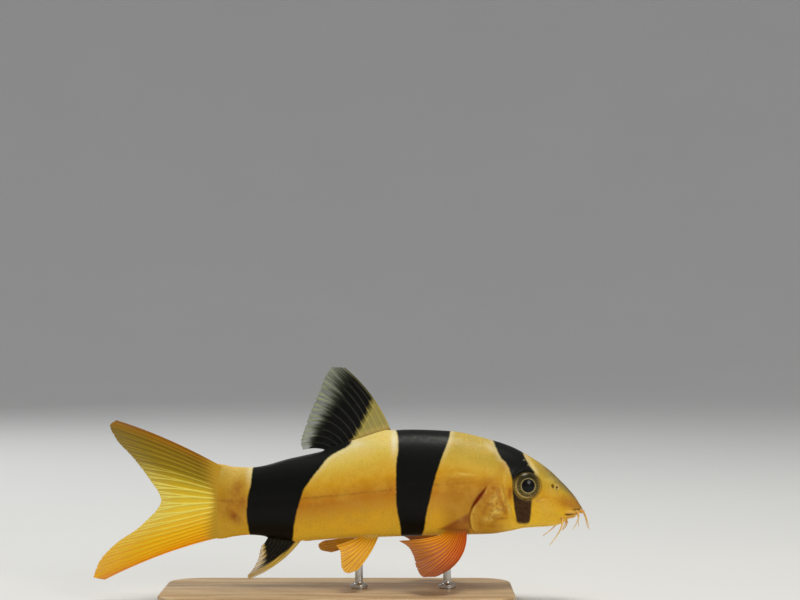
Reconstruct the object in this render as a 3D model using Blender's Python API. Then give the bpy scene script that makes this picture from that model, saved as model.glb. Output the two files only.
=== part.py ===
# A young clown loach, 98 mm from snout to tail tip, as a still life-size model on a plain display stand.
# The fish faces +X and its right flank faces -Y. The origin is the middle of the stand's underside.
# Sizes and places below are in millimetres, and new_object turns them into metres.
import math
from bisect import bisect_right
from functools import lru_cache

import bmesh
import bpy
from mathutils import Vector
from mathutils.bvhtree import BVHTree

MM = 0.001
GAP = 0.3  # between pieces that touch

# Places along the fish: the snout's tip, where the stalk is parted from the trunk, and the tail fin's root
SNOUT_X = 49.0
STALK_X = -14.6
TAIL_ROOT_X = -23.6
TAIL_MIDDLE_Z = 20.4  # the level that parts the tail fin's two lobes

# The body's outline from the snout back, as (place along the fish, height above the floor)
BACK_LINE = [
    (49.0, 18.4), (48.4, 19.7), (47.6, 21.0), (46.4, 22.5), (44.4, 24.6), (42.4, 26.5), (38.4, 29.3),
    (34.4, 31.4), (30.4, 32.7), (22.4, 34.4), (14.4, 34.7), (10.8, 34.5), (4.4, 32.7), (-2.6, 30.5),
    (-9.6, 28.9), (-17.6, 27.1), (-20.6, 27.2), (-23.6, 27.9),
]
BELLY_LINE = [
    (49.0, 18.4), (48.2, 17.9), (46.8, 17.3), (45.6, 16.5), (44.4, 15.8), (42.4, 15.4), (37.4, 15.1),
    (34.4, 14.5), (30.4, 13.9), (22.4, 13.7), (12.4, 13.4), (0.0, 12.9), (-6.8, 12.5), (-12.0, 13.0),
    (-17.6, 13.6), (-20.6, 13.3), (-23.6, 12.6),
]
# Half the body's width, from the snout back
HALF_WIDTH = [
    (49.0, 0.0), (48.4, 1.45), (47.4, 2.15), (46.0, 2.75), (44.0, 3.4), (41.0, 4.15), (37.5, 4.85),
    (33.0, 5.5), (28.0, 5.95), (20.0, 6.2), (12.0, 6.1), (4.0, 5.5), (-3.0, 4.7), (-10.0, 3.7),
    (-16.0, 2.75), (-20.0, 1.9), (-23.6, 1.0),
]
# How high the body is widest, as a share of its depth, and how full its two halves are, where 2 is round
WIDEST_LEVEL = [(49.0, 0.5), (46.0, 0.4), (38.0, 0.42), (28.0, 0.42), (10.0, 0.45), (-23.6, 0.5)]
UPPER_FULLNESS = [(49.0, 2.2), (38.0, 2.15), (20.0, 2.0), (0.0, 1.9), (-23.6, 2.0)]
LOWER_FULLNESS = [(49.0, 2.0), (44.0, 2.5), (34.0, 2.7), (20.0, 2.5), (0.0, 2.25), (-23.6, 2.0)]

# The gill cover's rear edge, as (height, place along the fish)
GILL_LINE = [
    (13.8, 28.2), (14.6, 27.2), (16.0, 26.4), (17.6, 26.2), (19.4, 26.7), (21.4, 28.0), (23.4, 29.4),
    (25.6, 30.2), (28.5, 30.5), (33.0, 30.6),
]

# The gill cover: how much it swells round its middle, how far its rear edge stands off, how deep the flank
# behind it is sunken, how far both of these reach, and between which heights they fade
GILL_MIDDLE = (30.6, 18.8)
GILL_HALF_SIZE = (3.2, 3.6)
GILL_SWELL = 0.3
GILL_EDGE_HEIGHT = 0.34
GILL_EDGE_REACH = 1.4
GILL_SINK_DEPTH = 0.3
GILL_SINK_REACH = 1.3
GILL_LOW_FADE = (14.2, 15.6)
GILL_HIGH_FADE = (22.0, 24.4)
FLANK_START_X = 20.0

# The tail swings to the left from here back, and this far at its tips
BEND_START_X = 8.0
BEND_REACH = 2.2

EYE_X = 37.5
EYE_Y = 3.85
EYE_Z = 23.8
EYE_RADIUS = 2.75
EYE_HALF_DEPTH = 1.4
EYE_RING_RADIUS = 3.05
EYE_RING_THICKNESS = 0.36
EYE_RING_SINK = 0.12
EYE_TILT = 0.4  # how much of the skin's own upward tilt the eye follows

NOSTRIL_X = 43.4
NOSTRIL_Z = 23.3
# As (height off the skin, radius)
NOSTRIL_RIM = [(-0.8, 0.8), (0.05, 0.75), (0.35, 0.62), (0.42, 0.5)]
NOSTRIL_BORE = [(-0.7, 0.25), (0.0, 0.34), (0.9, 0.4)]

# The mouth runs level round the snout's underside, from its middle back to its two corners
MOUTH_LEVEL = 17.95
MOUTH_CORNER_X = 45.2
MOUTH_HEIGHT = 0.3
MOUTH_DEPTH = 1.0
MOUTH_OUTSIDE = 0.8  # how far the cut starts outside the lips
# How much lower and shallower the cut is at its corners, as a share
MOUTH_LOWERING = 0.3
MOUTH_SHALLOWING = 0.5
# Each lip's height at the middle, the place of its corners and its thickness
LIPS = {"upper": (18.28, 44.9, 0.34), "lower": (17.5, 45.0, 0.42)}
LIP_SINK = 0.14
LIP_THINNING = 0.55  # at its corners, as a share

# The feelers of one side: where each grows, as (place along the fish, height), the point that bends it,
# its tip, as (along, out to the side, height), its thickness at the root and how far the left tip differs
BARBELS = {
    "rostral_outer": ((48.5, 18.65), (49.6, 1.9, 17.5), (50.1, 2.2, 14.7), 0.36, (0.0, 0.0, 0.0)),
    "rostral_inner": ((47.6, 18.5), (48.4, 3.3, 17.6), (46.6, 3.0, 14.8), 0.36, (1.7, -0.2, 0.1)),
    "maxillary": ((44.6, 17.2), (44.8, 4.6, 15.4), (41.9, 4.8, 11.9), 0.42, (-0.8, 0.2, 0.9)),
    "mandibular": ((45.6, 16.85), (45.4, 1.5, 15.4), (44.7, 1.7, 14.6), 0.3, (0.2, 0.0, -0.2)),
}
BARBEL_LEAD = 1.0  # how far each goes square to the skin before it bends
BARBEL_THINNING = 0.55  # at its tip, as a share

# Half a fin's thickness on its rays and between them, and how much of it is gone at the edge, as a share
FIN_RAY_HALF = 0.42
TAIL_RAY_HALF = 0.4
FIN_WEB_HALF = 0.28
FIN_THINNING = 0.45
FIN_ROOT_SWELL = 0.3
# As shares of the rays' length
FIN_ROOT_REACH = 0.08
FIN_WEB_LENGTH = 0.965

BASE_LENGTH = 70.0
BASE_DEPTH = 34.0
BASE_HEIGHT = 3.0
BASE_CORNER = 7.0
BASE_EASE = 0.5
ROD_RADIUS = 0.8
ROD_FOOT_RADIUS = 1.7
ROD_FOOT_HEIGHT = 0.8
ROD_FOOT_SLOPE = 0.4
ROD_PLACES = {"stand_rod_front": 21.8, "stand_rod_rear": 4.2}


def smooth_curve(points):
    """A smooth curve through the points that never swings past them, as a function."""
    xs = [p[0] for p in sorted(points)]
    ys = [p[1] for p in sorted(points)]
    rise = [(ys[i + 1] - ys[i]) / (xs[i + 1] - xs[i]) for i in range(len(xs) - 1)]
    slope = [rise[0]]
    for before, after in zip(rise, rise[1:]):
        slope.append(2 * before * after / (before + after) if before * after > 0 else 0.0)
    slope.append(rise[-1])

    @lru_cache(maxsize=None)
    def value(x):
        x = min(max(x, xs[0]), xs[-1])
        i = min(bisect_right(xs, x) - 1, len(xs) - 2)
        wide = xs[i + 1] - xs[i]
        t = (x - xs[i]) / wide
        return (
            ys[i] * (1 + 2 * t) * (1 - t) ** 2
            + slope[i] * wide * t * (1 - t) ** 2
            + ys[i + 1] * t * t * (3 - 2 * t)
            + slope[i + 1] * wide * t * t * (t - 1)
        )

    return value


def from_snout(points):
    """A profile along the fish, in the root of the way from the snout's tip, which rounds the snout."""
    curve = smooth_curve([(math.sqrt(SNOUT_X - x), value) for x, value in points])
    return lambda x: curve(math.sqrt(max(SNOUT_X - x, 0.0)))


back_height = from_snout(BACK_LINE)
belly_height = from_snout(BELLY_LINE)
half_width = from_snout(HALF_WIDTH)
widest_level = from_snout(WIDEST_LEVEL)
upper_fullness = from_snout(UPPER_FULLNESS)
lower_fullness = from_snout(LOWER_FULLNESS)
gill_line = smooth_curve(GILL_LINE)


def hill(distance, width):
    return math.exp(-((distance / width) ** 2))


def ease(value, low, high):
    """0 below low, 1 above high, and smooth between them."""
    t = min(max((value - low) / (high - low), 0.0), 1.0)
    return t * t * (3 - 2 * t)


def widest_height(x):
    return belly_height(x) + widest_level(x) * (back_height(x) - belly_height(x))


def half_section(x, above):
    """How full the section's upper or lower half is, and how far it reaches from its widest level."""
    level = widest_height(x)
    if above:
        return upper_fullness(x), back_height(x) - level
    return lower_fullness(x), level - belly_height(x)


def body_point(x, turn):
    """A point of the plain body. turn is 0 on the back and a quarter turn on the right flank."""
    side, up = math.sin(turn), math.cos(turn)
    fullness, reach = half_section(x, up >= 0)
    y = -math.copysign(half_width(x) * abs(side) ** (2 / fullness), side)
    return Vector((x, y, widest_height(x) + math.copysign(reach * abs(up) ** (2 / fullness), up)))


def flank(x, z):
    """Half the plain body's width at one place and height."""
    above = z >= widest_height(x)
    fullness, reach = half_section(x, above)
    share = min(abs(z - widest_height(x)) / reach, 1.0)
    return half_width(x) * (1 - share**fullness) ** (1 / fullness)


def body_measure(point):
    """0 on the plain body's surface and more outside it."""
    x, y, z = point
    fullness, reach = half_section(x, z >= widest_height(x))
    wide = (abs(y) / max(half_width(x), 0.01)) ** fullness
    high = (abs(z - widest_height(x)) / max(reach, 0.01)) ** fullness
    return (wide + high) ** (1 / fullness) - 1


def body_slope(point):
    step = 0.02
    return Vector([
        (body_measure(point + step * axis) - body_measure(point - step * axis)) / (2 * step)
        for axis in (Vector((1, 0, 0)), Vector((0, 1, 0)), Vector((0, 0, 1)))
    ])


def outward(point):
    return body_slope(point).normalized()


def relief(point):
    """The gill cover: swollen, with its rear edge standing off the sunken flank behind it."""
    if point.x < FLANK_START_X:
        return 0.0
    on_side = ease(point.z, *GILL_LOW_FADE) * (1 - ease(point.z, *GILL_HIGH_FADE))
    ahead = point.x - gill_line(point.z)
    if ahead <= 0:
        return -GILL_SINK_DEPTH * on_side * math.exp(ahead / GILL_SINK_REACH)
    along = (point.x - GILL_MIDDLE[0]) / GILL_HALF_SIZE[0]
    up = (point.z - GILL_MIDDLE[1]) / GILL_HALF_SIZE[1]
    return on_side * (GILL_SWELL * hill(math.hypot(along, up), 1.0)
                      + GILL_EDGE_HEIGHT * math.exp(-ahead / GILL_EDGE_REACH))


def skin_point(x, turn):
    point = body_point(x, turn)
    return point + outward(point) * relief(point)


def round_snout(level, corner_x, share):
    """A point of the skin at one level round the snout. share runs from -1 to 1 between the corners."""
    low, high = MOUTH_CORNER_X, SNOUT_X
    for _ in range(30):
        middle = (low + high) / 2
        if belly_height(middle) < level:
            low = middle
        else:
            high = middle
    x = high - (high - corner_x) * share**2
    return Vector((x, math.copysign(flank(x, level), share), level))


def lip_rings(steps=20):
    """Each lip as (centre, outward way, thickness) from one corner of the mouth to the other."""
    lips = {}
    for name, (level, corner_x, thickness) in LIPS.items():
        rings = []
        for k in range(steps + 1):
            share = 2 * k / steps - 1
            point = round_snout(level, corner_x, share)
            facing = outward(point)
            thick = thickness * (1 - LIP_THINNING * abs(share) ** 3)
            rings.append((point - facing * LIP_SINK, facing, thick))
        lips[name] = rings
    return lips


LIP_RINGS = lip_rings()


def seat(point, way, reach=2.5):
    """Slides a point along way to where it stands GAP off the skin, so that a root follows the body."""
    way = Vector(way).normalized()
    low, high = -reach, reach
    for _ in range(30):
        middle = (low + high) / 2
        here = point + way * middle
        if body_measure(here) / body_slope(here).length - relief(here) < GAP:
            low = middle
        else:
            high = middle
    return point + way * high


def stand_off(surface, point, way):
    """Slides a point near the head's surface out along way to where it stands GAP off it."""
    step = 0.02
    while surface.find_nearest(point * MM)[3] < GAP * MM:
        point = point + way * step
    return point


def bent(point):
    """The tail's swing to the left, as a shift across the fish."""
    behind = max(BEND_START_X - point[0], 0.0) / (BEND_START_X + SNOUT_X)
    return Vector((point[0], point[1] + BEND_REACH * behind**2, point[2]))


def material(name, colour, roughness, metallic=0.0):
    made = bpy.data.materials.get(name)
    if made is None:
        made = bpy.data.materials.new(name)
        made.use_nodes = True
        shader = made.node_tree.nodes["Principled BSDF"]
        shader.inputs["Base Color"].default_value = (*colour, 1.0)
        shader.inputs["Roughness"].default_value = roughness
        shader.inputs["Metallic"].default_value = metallic
    return made


def new_object(name, points, faces, paint, swings=True):
    """One closed mesh object. A piece of the fish swings with its tail, and the stand doesn't."""
    mesh = bpy.data.meshes.new(name)
    mesh.from_pydata([(bent(p) if swings else p) * MM for p in points], [], faces)
    shape = bmesh.new()
    shape.from_mesh(mesh)
    bmesh.ops.recalc_face_normals(shape, faces=shape.faces)
    shape.to_mesh(mesh)
    shape.free()
    mesh.shade_smooth()
    mesh.set_sharp_from_angle(angle=math.radians(50))
    mesh.materials.append(paint)
    made = bpy.data.objects.new(name, mesh)
    bpy.context.scene.collection.objects.link(made)
    return made


def keep_largest(obj):
    """Drops every loose piece but the largest."""
    shape = bmesh.new()
    shape.from_mesh(obj.data)
    left, pieces = set(shape.verts), []
    while left:
        piece, edge = set(), [next(iter(left))]
        while edge:
            vert = edge.pop()
            if vert in piece:
                continue
            piece.add(vert)
            edge.extend(e.other_vert(vert) for e in vert.link_edges)
        pieces.append(piece)
        left -= piece
    for piece in sorted(pieces, key=len)[:-1]:
        bmesh.ops.delete(shape, geom=list(piece), context="VERTS")
    shape.to_mesh(obj.data)
    shape.free()


def combine(obj, pieces, operation):
    """Joins the pieces to the object, or cuts them from it, and removes them."""
    group = bpy.data.collections.new(obj.name + "_pieces")
    bpy.context.scene.collection.children.link(group)
    for piece in pieces:
        bpy.context.scene.collection.objects.unlink(piece)
        group.objects.link(piece)
    boolean = obj.modifiers.new(operation, "BOOLEAN")
    boolean.operand_type = "COLLECTION"
    boolean.collection = group
    boolean.operation = operation
    boolean.solver = "EXACT"
    bpy.context.view_layer.update()
    graph = bpy.context.evaluated_depsgraph_get()
    result = bpy.data.meshes.new_from_object(obj.evaluated_get(graph))
    obj.modifiers.clear()
    obj.data = result
    for piece in pieces:
        bpy.data.objects.remove(piece)
    bpy.data.collections.remove(group)
    keep_largest(obj)


def turns_round(segments):
    return [2 * math.pi * k / segments for k in range(segments)]


def loft(loops, tip=None, ring=False):
    """Points and faces of a skin over loops of points.

    Strips straight across close its two ends. A tip closes its start instead, and a ring joins its ends.
    """
    count = len(loops[0])
    points = [p for loop in loops for p in loop]
    faces = []
    for row in range(len(loops) if ring else len(loops) - 1):
        here, there = row * count, (row + 1) % len(loops) * count
        for k in range(count):
            after = (k + 1) % count
            faces.append((here + k, here + after, there + after, there + k))
    if ring:
        return points, faces
    half = count // 2

    def close(start):
        faces.append((start, start + 1, start + count - 1))
        for k in range(1, half - 1):
            faces.append((start + k, start + k + 1, start + count - k - 1, start + count - k))
        faces.append((start + half - 1, start + half, start + half + 1))

    if tip is None:
        close(0)
    else:
        points.append(tip)
        faces.extend((len(points) - 1, k, (k + 1) % count) for k in range(count))
    close((len(loops) - 1) * count)
    return points, faces


def gill_x(turn):
    return gill_line(body_point(28.0, turn).z)


def body_loop(place, segments=48):
    """One loop round the body, where place gives how far along the fish it lies at each turn."""
    return [skin_point(place(turn), turn) for turn in turns_round(segments)]


def gold():
    return material("loach_gold", (0.60, 0.33, 0.05), 0.35)


def make_head():
    stations, crowding = 32, 1.45
    loops = []
    for i in range(1, stations + 1):
        share = (i / stations) ** crowding
        loops.append(body_loop(lambda turn: SNOUT_X - share * (SNOUT_X - gill_x(turn) - GAP / 2)))
    tip = Vector((SNOUT_X, 0, back_height(SNOUT_X)))
    head = new_object("head", *loft(loops, tip), gold())
    raised = [make_lip(name) for name in LIPS]
    raised += [shape(side) for side in (-1, 1) for shape in (eye_ring, nostril_rim)]
    combine(head, raised, "UNION")
    cutters = [mouth_slot()]
    cutters += [eyeball("socket", side, GAP) for side in (-1, 1)]
    cutters += [nostril_bore(side) for side in (-1, 1)]
    combine(head, cutters, "DIFFERENCE")
    return head


def make_trunk():
    stations, crowding = 22, 1.35
    loops = []
    for i in range(stations + 1):
        share = (i / stations) ** crowding
        loops.append(body_loop(
            lambda turn: gill_x(turn) - GAP / 2 - share * (gill_x(turn) - GAP - STALK_X)))
    new_object("trunk", *loft(loops), material("loach_gold_flank", (0.60, 0.32, 0.05), 0.35))


def make_tail_stalk():
    stations = 7
    front = STALK_X - GAP / 2
    loops = [
        body_loop(lambda turn: front - (front - TAIL_ROOT_X) * i / stations) for i in range(stations + 1)
    ]
    new_object("tail_stalk", *loft(loops), material("loach_black", (0.012, 0.011, 0.008), 0.3))


def make_lip(name):
    loops = []
    rings = LIP_RINGS[name]
    for k, (centre, facing, thickness) in enumerate(rings):
        before, after = rings[max(k - 1, 0)][0], rings[min(k + 1, len(rings) - 1)][0]
        across = (after - before).cross(facing).normalized()
        loops.append([
            centre + (facing * math.cos(t) + across * math.sin(t)) * thickness for t in turns_round(8)
        ])
    return new_object(name + "_lip", *loft(loops), gold())


def mouth_slot(steps=20):
    """The cut between the lips, deepest in the middle."""
    loops = []
    for k in range(steps + 1):
        share = 2 * k / steps - 1
        point = round_snout(MOUTH_LEVEL, MOUTH_CORNER_X, share)
        facing = outward(point)
        facing = Vector((facing.x, facing.y, 0)).normalized()
        up = Vector((0, 0, MOUTH_HEIGHT / 2 * (1 - MOUTH_LOWERING * share**2)))
        outside = point + facing * MOUTH_OUTSIDE
        inside = point - facing * MOUTH_DEPTH * (1 - MOUTH_SHALLOWING * share**2)
        loops.append([outside + up, outside - up, inside - up, inside + up])
    return new_object("mouth_slot", *loft(loops), gold())


def round_solid(name, place, paint, rings=12, segments=24):
    """A closed ball-like solid: place turns a point of the unit sphere into a point of the solid."""
    points = [place(Vector((0, 0, 1)))]
    for i in range(1, rings):
        tilt = math.pi * i / rings
        points.extend(
            place(Vector((math.sin(tilt) * math.cos(t), math.sin(tilt) * math.sin(t), math.cos(tilt))))
            for t in turns_round(segments)
        )
    points.append(place(Vector((0, 0, -1))))
    faces = [(0, 1 + k, 1 + (k + 1) % segments) for k in range(segments)]
    for i in range(rings - 2):
        here, there = 1 + i * segments, 1 + (i + 1) * segments
        for k in range(segments):
            after = (k + 1) % segments
            faces.append((here + k, there + k, there + after, here + after))
    last = len(points) - 1 - segments
    faces.extend((len(points) - 1, last + (k + 1) % segments, last + k) for k in range(segments))
    return new_object(name, points, faces, paint)


def eye_axes(side):
    """The ways that an eye faces, points forward and points up. side is -1 on the right."""
    skin = outward(Vector((EYE_X, flank(EYE_X, EYE_Z), EYE_Z)))
    facing = Vector((skin.x, side * skin.y, skin.z * EYE_TILT)).normalized()
    forward = Vector((0, 0, 1)).cross(facing).normalized() * -side
    return facing, forward, Vector((0, 0, 1))


def eyeball(name, side, grown=0.0):
    """The eyeball, a flattened ball. Grown by the gap it cuts its socket."""
    facing, forward, up = eye_axes(side)
    centre = Vector((EYE_X, side * EYE_Y, EYE_Z))

    def place(unit):
        radius = EYE_RADIUS + grown
        deep = facing * unit.z * (EYE_HALF_DEPTH + grown)
        return centre + (forward * unit.x + up * unit.y) * radius + deep

    return round_solid(name, place, material("loach_eye", (0.05, 0.04, 0.02), 0.08))


def eye_ring(side):
    """The low roll of skin round the eye."""
    facing, forward, up = eye_axes(side)
    loops = []
    for t in turns_round(28):
        away = forward * math.cos(t) + up * math.sin(t)
        x, z = EYE_X + away.x * EYE_RING_RADIUS, EYE_Z + away.z * EYE_RING_RADIUS
        centre = Vector((x, side * (flank(x, z) - EYE_RING_SINK), z))
        thick = EYE_RING_THICKNESS
        loops.append([centre + (away * math.cos(s) + facing * math.sin(s)) * thick for s in turns_round(8)])
    return new_object("eye_ring", *loft(loops, ring=True), gold())


def nostril_tube(name, side, profile):
    """A short turned tube on the nostril."""
    middle = Vector((NOSTRIL_X, side * flank(NOSTRIL_X, NOSTRIL_Z), NOSTRIL_Z))
    facing = outward(middle)
    across = facing.orthogonal().normalized()
    along = facing.cross(across)
    loops = []
    for height, radius in profile:
        centre = middle + facing * height
        loops.append([
            centre + (across * math.cos(t) + along * math.sin(t)) * radius for t in turns_round(12)
        ])
    return new_object(name, *loft(loops), gold())


def nostril_rim(side):
    return nostril_tube("nostril_rim", side, NOSTRIL_RIM)


def nostril_bore(side):
    return nostril_tube("nostril_bore", side, NOSTRIL_BORE)


def path_through(points):
    """A smooth path through the points, as a function of the share of the way along it."""
    places = [i / (len(points) - 1) for i in range(len(points))]
    curves = [smooth_curve([(place, p[axis]) for place, p in zip(places, points)]) for axis in range(3)]
    return lambda share: Vector([curve(share) for curve in curves])


def fin(name, root, bow, edge, rays, paint, rows=8, ray_half=FIN_RAY_HALF, rooted=True):
    """A fin as one closed sheet, with each ray raised as a ridge on both of its faces.

    root, bow and edge are points from the leading ray to the trailing one: where the rays start, what pulls
    them into their bend, and where they end.
    """
    start_line, pull_line, end_line = path_through(root), path_through(bow), path_through(edge)
    columns = 2 * (rays - 1) + 1
    step = 0.02

    def on_fin(share, out):
        start, pull, end = start_line(share), pull_line(share), end_line(share)
        return start * (1 - out) ** 2 + pull * 2 * out * (1 - out) + end * out * out

    sheets = {1: [], -1: []}
    for c in range(columns):
        share = c / (columns - 1)
        is_ray = c % 2 == 0
        for r in range(rows + 1):
            out = r / rows * (1.0 if is_ray else FIN_WEB_LENGTH)
            along = on_fin(share, min(out + step, 1.0)) - on_fin(share, max(out - step, 0.0))
            across = on_fin(min(share + step, 1.0), out) - on_fin(max(share - step, 0.0), out)
            facing = along.cross(across).normalized()
            half = (ray_half if is_ray else FIN_WEB_HALF) * (1 - FIN_THINNING * out**3)
            half += FIN_ROOT_SWELL * hill(out, FIN_ROOT_REACH)
            for side in (1, -1):
                point = on_fin(share, out) + facing * side * half
                sheets[side].append(seat(point, along) if r == 0 and rooted else point)
    high = rows + 1
    back = len(sheets[1])
    faces = []
    for c in range(columns - 1):
        for r in range(rows):
            a, b = c * high + r, (c + 1) * high + r
            faces += [(a, b, b + 1), (a, b + 1, a + 1)]
            faces += [(back + a, back + b + 1, back + b), (back + a, back + a + 1, back + b + 1)]
    rim = [c * high for c in range(columns)] + [(columns - 1) * high + r for r in range(1, high)]
    rim += [c * high + rows for c in reversed(range(columns - 1))] + list(reversed(range(1, rows)))
    for here, there in zip(rim, rim[1:] + rim[:1]):
        faces += [(there, here, back + here), (there, back + here, back + there)]
    new_object(name, sheets[1] + sheets[-1], faces, paint)


def on_back(x):
    return Vector((x, 0, back_height(x)))


def on_belly(x):
    return Vector((x, 0, belly_height(x)))


def underside(x, y):
    """The point of the body's lower half at this place and this far to the side."""
    fullness, reach = half_section(x, False)
    share = min(abs(y) / half_width(x), 1.0)
    return Vector((x, y, widest_height(x) - reach * (1 - share**fullness) ** (1 / fullness)))


def make_middle_fins():
    dark = material("fin_black", (0.02, 0.022, 0.014), 0.4)
    amber = material("fin_amber", (0.62, 0.32, 0.03), 0.4)
    fin(
        "dorsal_fin",
        [on_back(10.6), on_back(4.2), on_back(-2.4)],
        [(7.6, 0, 42.0), (4.4, 0, 41.6), (1.2, 0, 39.0), (-1.6, 0, 35.4), (-4.4, 0, 31.3)],
        [(1.4, 0, 47.1), (-1.0, 0, 47.3), (-2.5, 0, 45.6), (-3.9, 0, 42.2), (-5.4, 0, 38.6),
         (-6.7, 0, 35.0), (-7.5, 0, 32.2), (-7.0, 0, 30.6)],
        rays=12, paint=dark,
    )
    fin(
        "anal_fin",
        [on_belly(-7.4), on_belly(-10.8), on_belly(-14.0)],
        [(-11.3, 0, 7.3), (-12.8, 0, 8.6), (-14.6, 0, 11.8)],
        [(-17.8, 0, 4.7), (-18.2, 0, 5.3), (-17.2, 0, 6.6), (-16.0, 0, 8.8), (-15.4, 0, 11.4)],
        rays=8, paint=dark, rows=7,
    )
    root_x = TAIL_ROOT_X - GAP
    upper_middle, lower_middle = TAIL_MIDDLE_Z + GAP / 2, TAIL_MIDDLE_Z - GAP / 2
    fin(
        "caudal_fin_upper",
        [(root_x, 0, 27.6), (root_x, 0, 24.2), (root_x, 0, upper_middle)],
        [(-34.4, 0, 33.4), (-33.4, 0, 28.6), (-29.8, 0, upper_middle)],
        [(-44.6, 0, 36.5), (-46.0, 0, 35.4), (-44.6, 0, 32.6), (-41.2, 0, 28.9), (-38.0, 0, 24.7),
         (-35.6, 0, upper_middle)],
        rays=10, paint=amber, rows=9, ray_half=TAIL_RAY_HALF, rooted=False,
    )
    fin(
        "caudal_fin_lower",
        [(root_x, 0, 13.0), (root_x, 0, 16.4), (root_x, 0, lower_middle)],
        [(-35.4, 0, 10.3), (-33.6, 0, 13.2), (-29.8, 0, lower_middle)],
        [(-46.9, 0, 4.4), (-49.3, 0, 4.9), (-48.1, 0, 8.0), (-44.6, 0, 11.8), (-39.8, 0, 15.2),
         (-35.6, 0, lower_middle)],
        rays=10, paint=amber, rows=9, ray_half=TAIL_RAY_HALF, rooted=False,
    )


def make_paired_fins(side, name):
    """The pectoral and pelvic fins of one side, -1 on the right. Points are (along, out, height)."""
    orange = material("fin_orange", (0.60, 0.21, 0.02), 0.4)

    def placed(points):
        return [Vector((x, side * out, z)) for x, out, z in points]

    fin(
        "pectoral_fin_" + name,
        [underside(25.6, side * 4.0), underside(23.7, side * 3.9), underside(21.8, side * 3.6)],
        placed([(25.9, 9.2, 10.4), (23.2, 8.8, 11.0), (19.4, 6.6, 13.3)]),
        placed([(21.6, 12.6, 7.8), (19.0, 13.4, 6.8), (16.8, 13.0, 6.8), (15.6, 11.6, 8.4),
                (14.9, 9.8, 10.7), (13.8, 8.4, 12.2), (12.2, 6.8, 13.1)]),
        rays=13, paint=orange,
    )
    if side < 0:
        bow = [(7.0, 5.6, 10.6), (4.7, 5.5, 10.9), (3.0, 3.9, 12.8)]
        edge = [(4.0, 8.6, 7.6), (2.0, 9.0, 7.0), (0.9, 8.3, 8.0), (0.7, 7.4, 9.6), (0.6, 6.3, 11.0),
                (-0.2, 5.0, 12.1)]
    else:
        bow = [(4.6, 5.8, 11.2), (3.0, 5.0, 11.9), (2.6, 4.0, 12.7)]
        edge = [(-1.6, 8.0, 9.2), (-3.8, 7.7, 9.8), (-4.3, 6.8, 10.8), (-3.2, 5.8, 11.7), (-1.6, 4.6, 12.1)]
    fin(
        "pelvic_fin_" + name,
        [underside(8.2, side * 2.6), underside(6.6, side * 2.6), underside(5.0, side * 2.4)],
        placed(bow), placed(edge), rays=8, paint=orange, rows=7,
    )


def make_barbels(head, side, name):
    """The four feelers of one side, -1 on the right. Each leaves the skin square and then bends down."""
    flesh = material("barbel_flesh", (0.62, 0.38, 0.12), 0.45)
    mesh = head.data
    surface = BVHTree.FromPolygons([v.co for v in mesh.vertices], [p.vertices for p in mesh.polygons])
    rows = 10
    for kind, ((x, z), bend, tip, thickness, left_shift) in BARBELS.items():
        start = Vector((x, side * flank(x, z), z))
        facing = outward(start)
        start = stand_off(surface, start, facing)
        tip = Vector(tip) + (Vector(left_shift) if side > 0 else Vector((0, 0, 0)))
        controls = [start, start + facing * BARBEL_LEAD]
        controls += [Vector((p[0], side * p[1], p[2])) for p in (bend, tip)]
        loops = []
        for r in range(rows + 1):
            t = r / rows
            a, b, c, d = controls
            here = a * (1 - t) ** 3 + b * 3 * t * (1 - t) ** 2 + c * 3 * t * t * (1 - t) + d * t**3
            tangent = ((b - a) * (1 - t) ** 2 + (c - b) * 2 * t * (1 - t) + (d - c) * t * t).normalized()
            across = tangent.cross(Vector((0, side, 0.4))).normalized()
            other = tangent.cross(across)
            thick = thickness * (1 - BARBEL_THINNING * t**1.4)
            loops.append([
                here + (across * math.cos(s) + other * math.sin(s)) * thick for s in turns_round(8)
            ])
        new_object("barbel_" + kind + "_" + name, *loft(loops), flesh)


def make_base():
    """A flat plate with round corners and eased edges, which stands on its own flat underside."""
    steps = 6
    outline = []
    for x_side, y_side, first in ((1, 1, 0), (-1, 1, 90), (-1, -1, 180), (1, -1, 270)):
        for k in range(steps + 1):
            angle = math.radians(first + 90 * k / steps)
            middle = (x_side * (BASE_LENGTH / 2 - BASE_CORNER), y_side * (BASE_DEPTH / 2 - BASE_CORNER))
            outline.append((middle, math.cos(angle), math.sin(angle)))
    levels = [(0, -BASE_EASE), (BASE_EASE, 0), (BASE_HEIGHT - BASE_EASE, 0), (BASE_HEIGHT, -BASE_EASE)]
    count = len(outline)
    points = []
    for z, grown in levels:
        radius = BASE_CORNER + grown
        points.extend(Vector((mid[0] + radius * c, mid[1] + radius * s, z)) for mid, c, s in outline)
    faces = [tuple(range(count)), tuple(range((len(levels) - 1) * count, len(levels) * count))]
    for row in range(len(levels) - 1):
        here, there = row * count, (row + 1) * count
        for k in range(count):
            after = (k + 1) % count
            faces.append((here + k, here + after, there + after, there + k))
    new_object("stand_base", points, faces, material("stand_wood", (0.62, 0.47, 0.28), 0.5), swings=False)


def make_rods():
    """The rods from the base to the belly, each with a small round foot. Their tops follow the belly."""
    steel = material("stand_steel", (0.62, 0.61, 0.58), 0.25, 1.0)
    foot = BASE_HEIGHT + GAP
    top = foot + ROD_FOOT_HEIGHT
    levels = [(foot, ROD_FOOT_RADIUS), (top, ROD_FOOT_RADIUS), (top + ROD_FOOT_SLOPE, ROD_RADIUS)]
    for name, x in ROD_PLACES.items():
        loops = [
            [Vector((x + r * math.cos(t), r * math.sin(t), z)) for t in turns_round(16)] for z, r in levels
        ]
        ends = [(x + ROD_RADIUS * math.cos(t), ROD_RADIUS * math.sin(t)) for t in turns_round(16)]
        loops.append([seat(Vector((*end, belly_height(x))), (0, 0, -1)) for end in ends])
        new_object(name, *loft(loops), steel, swings=False)


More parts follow.
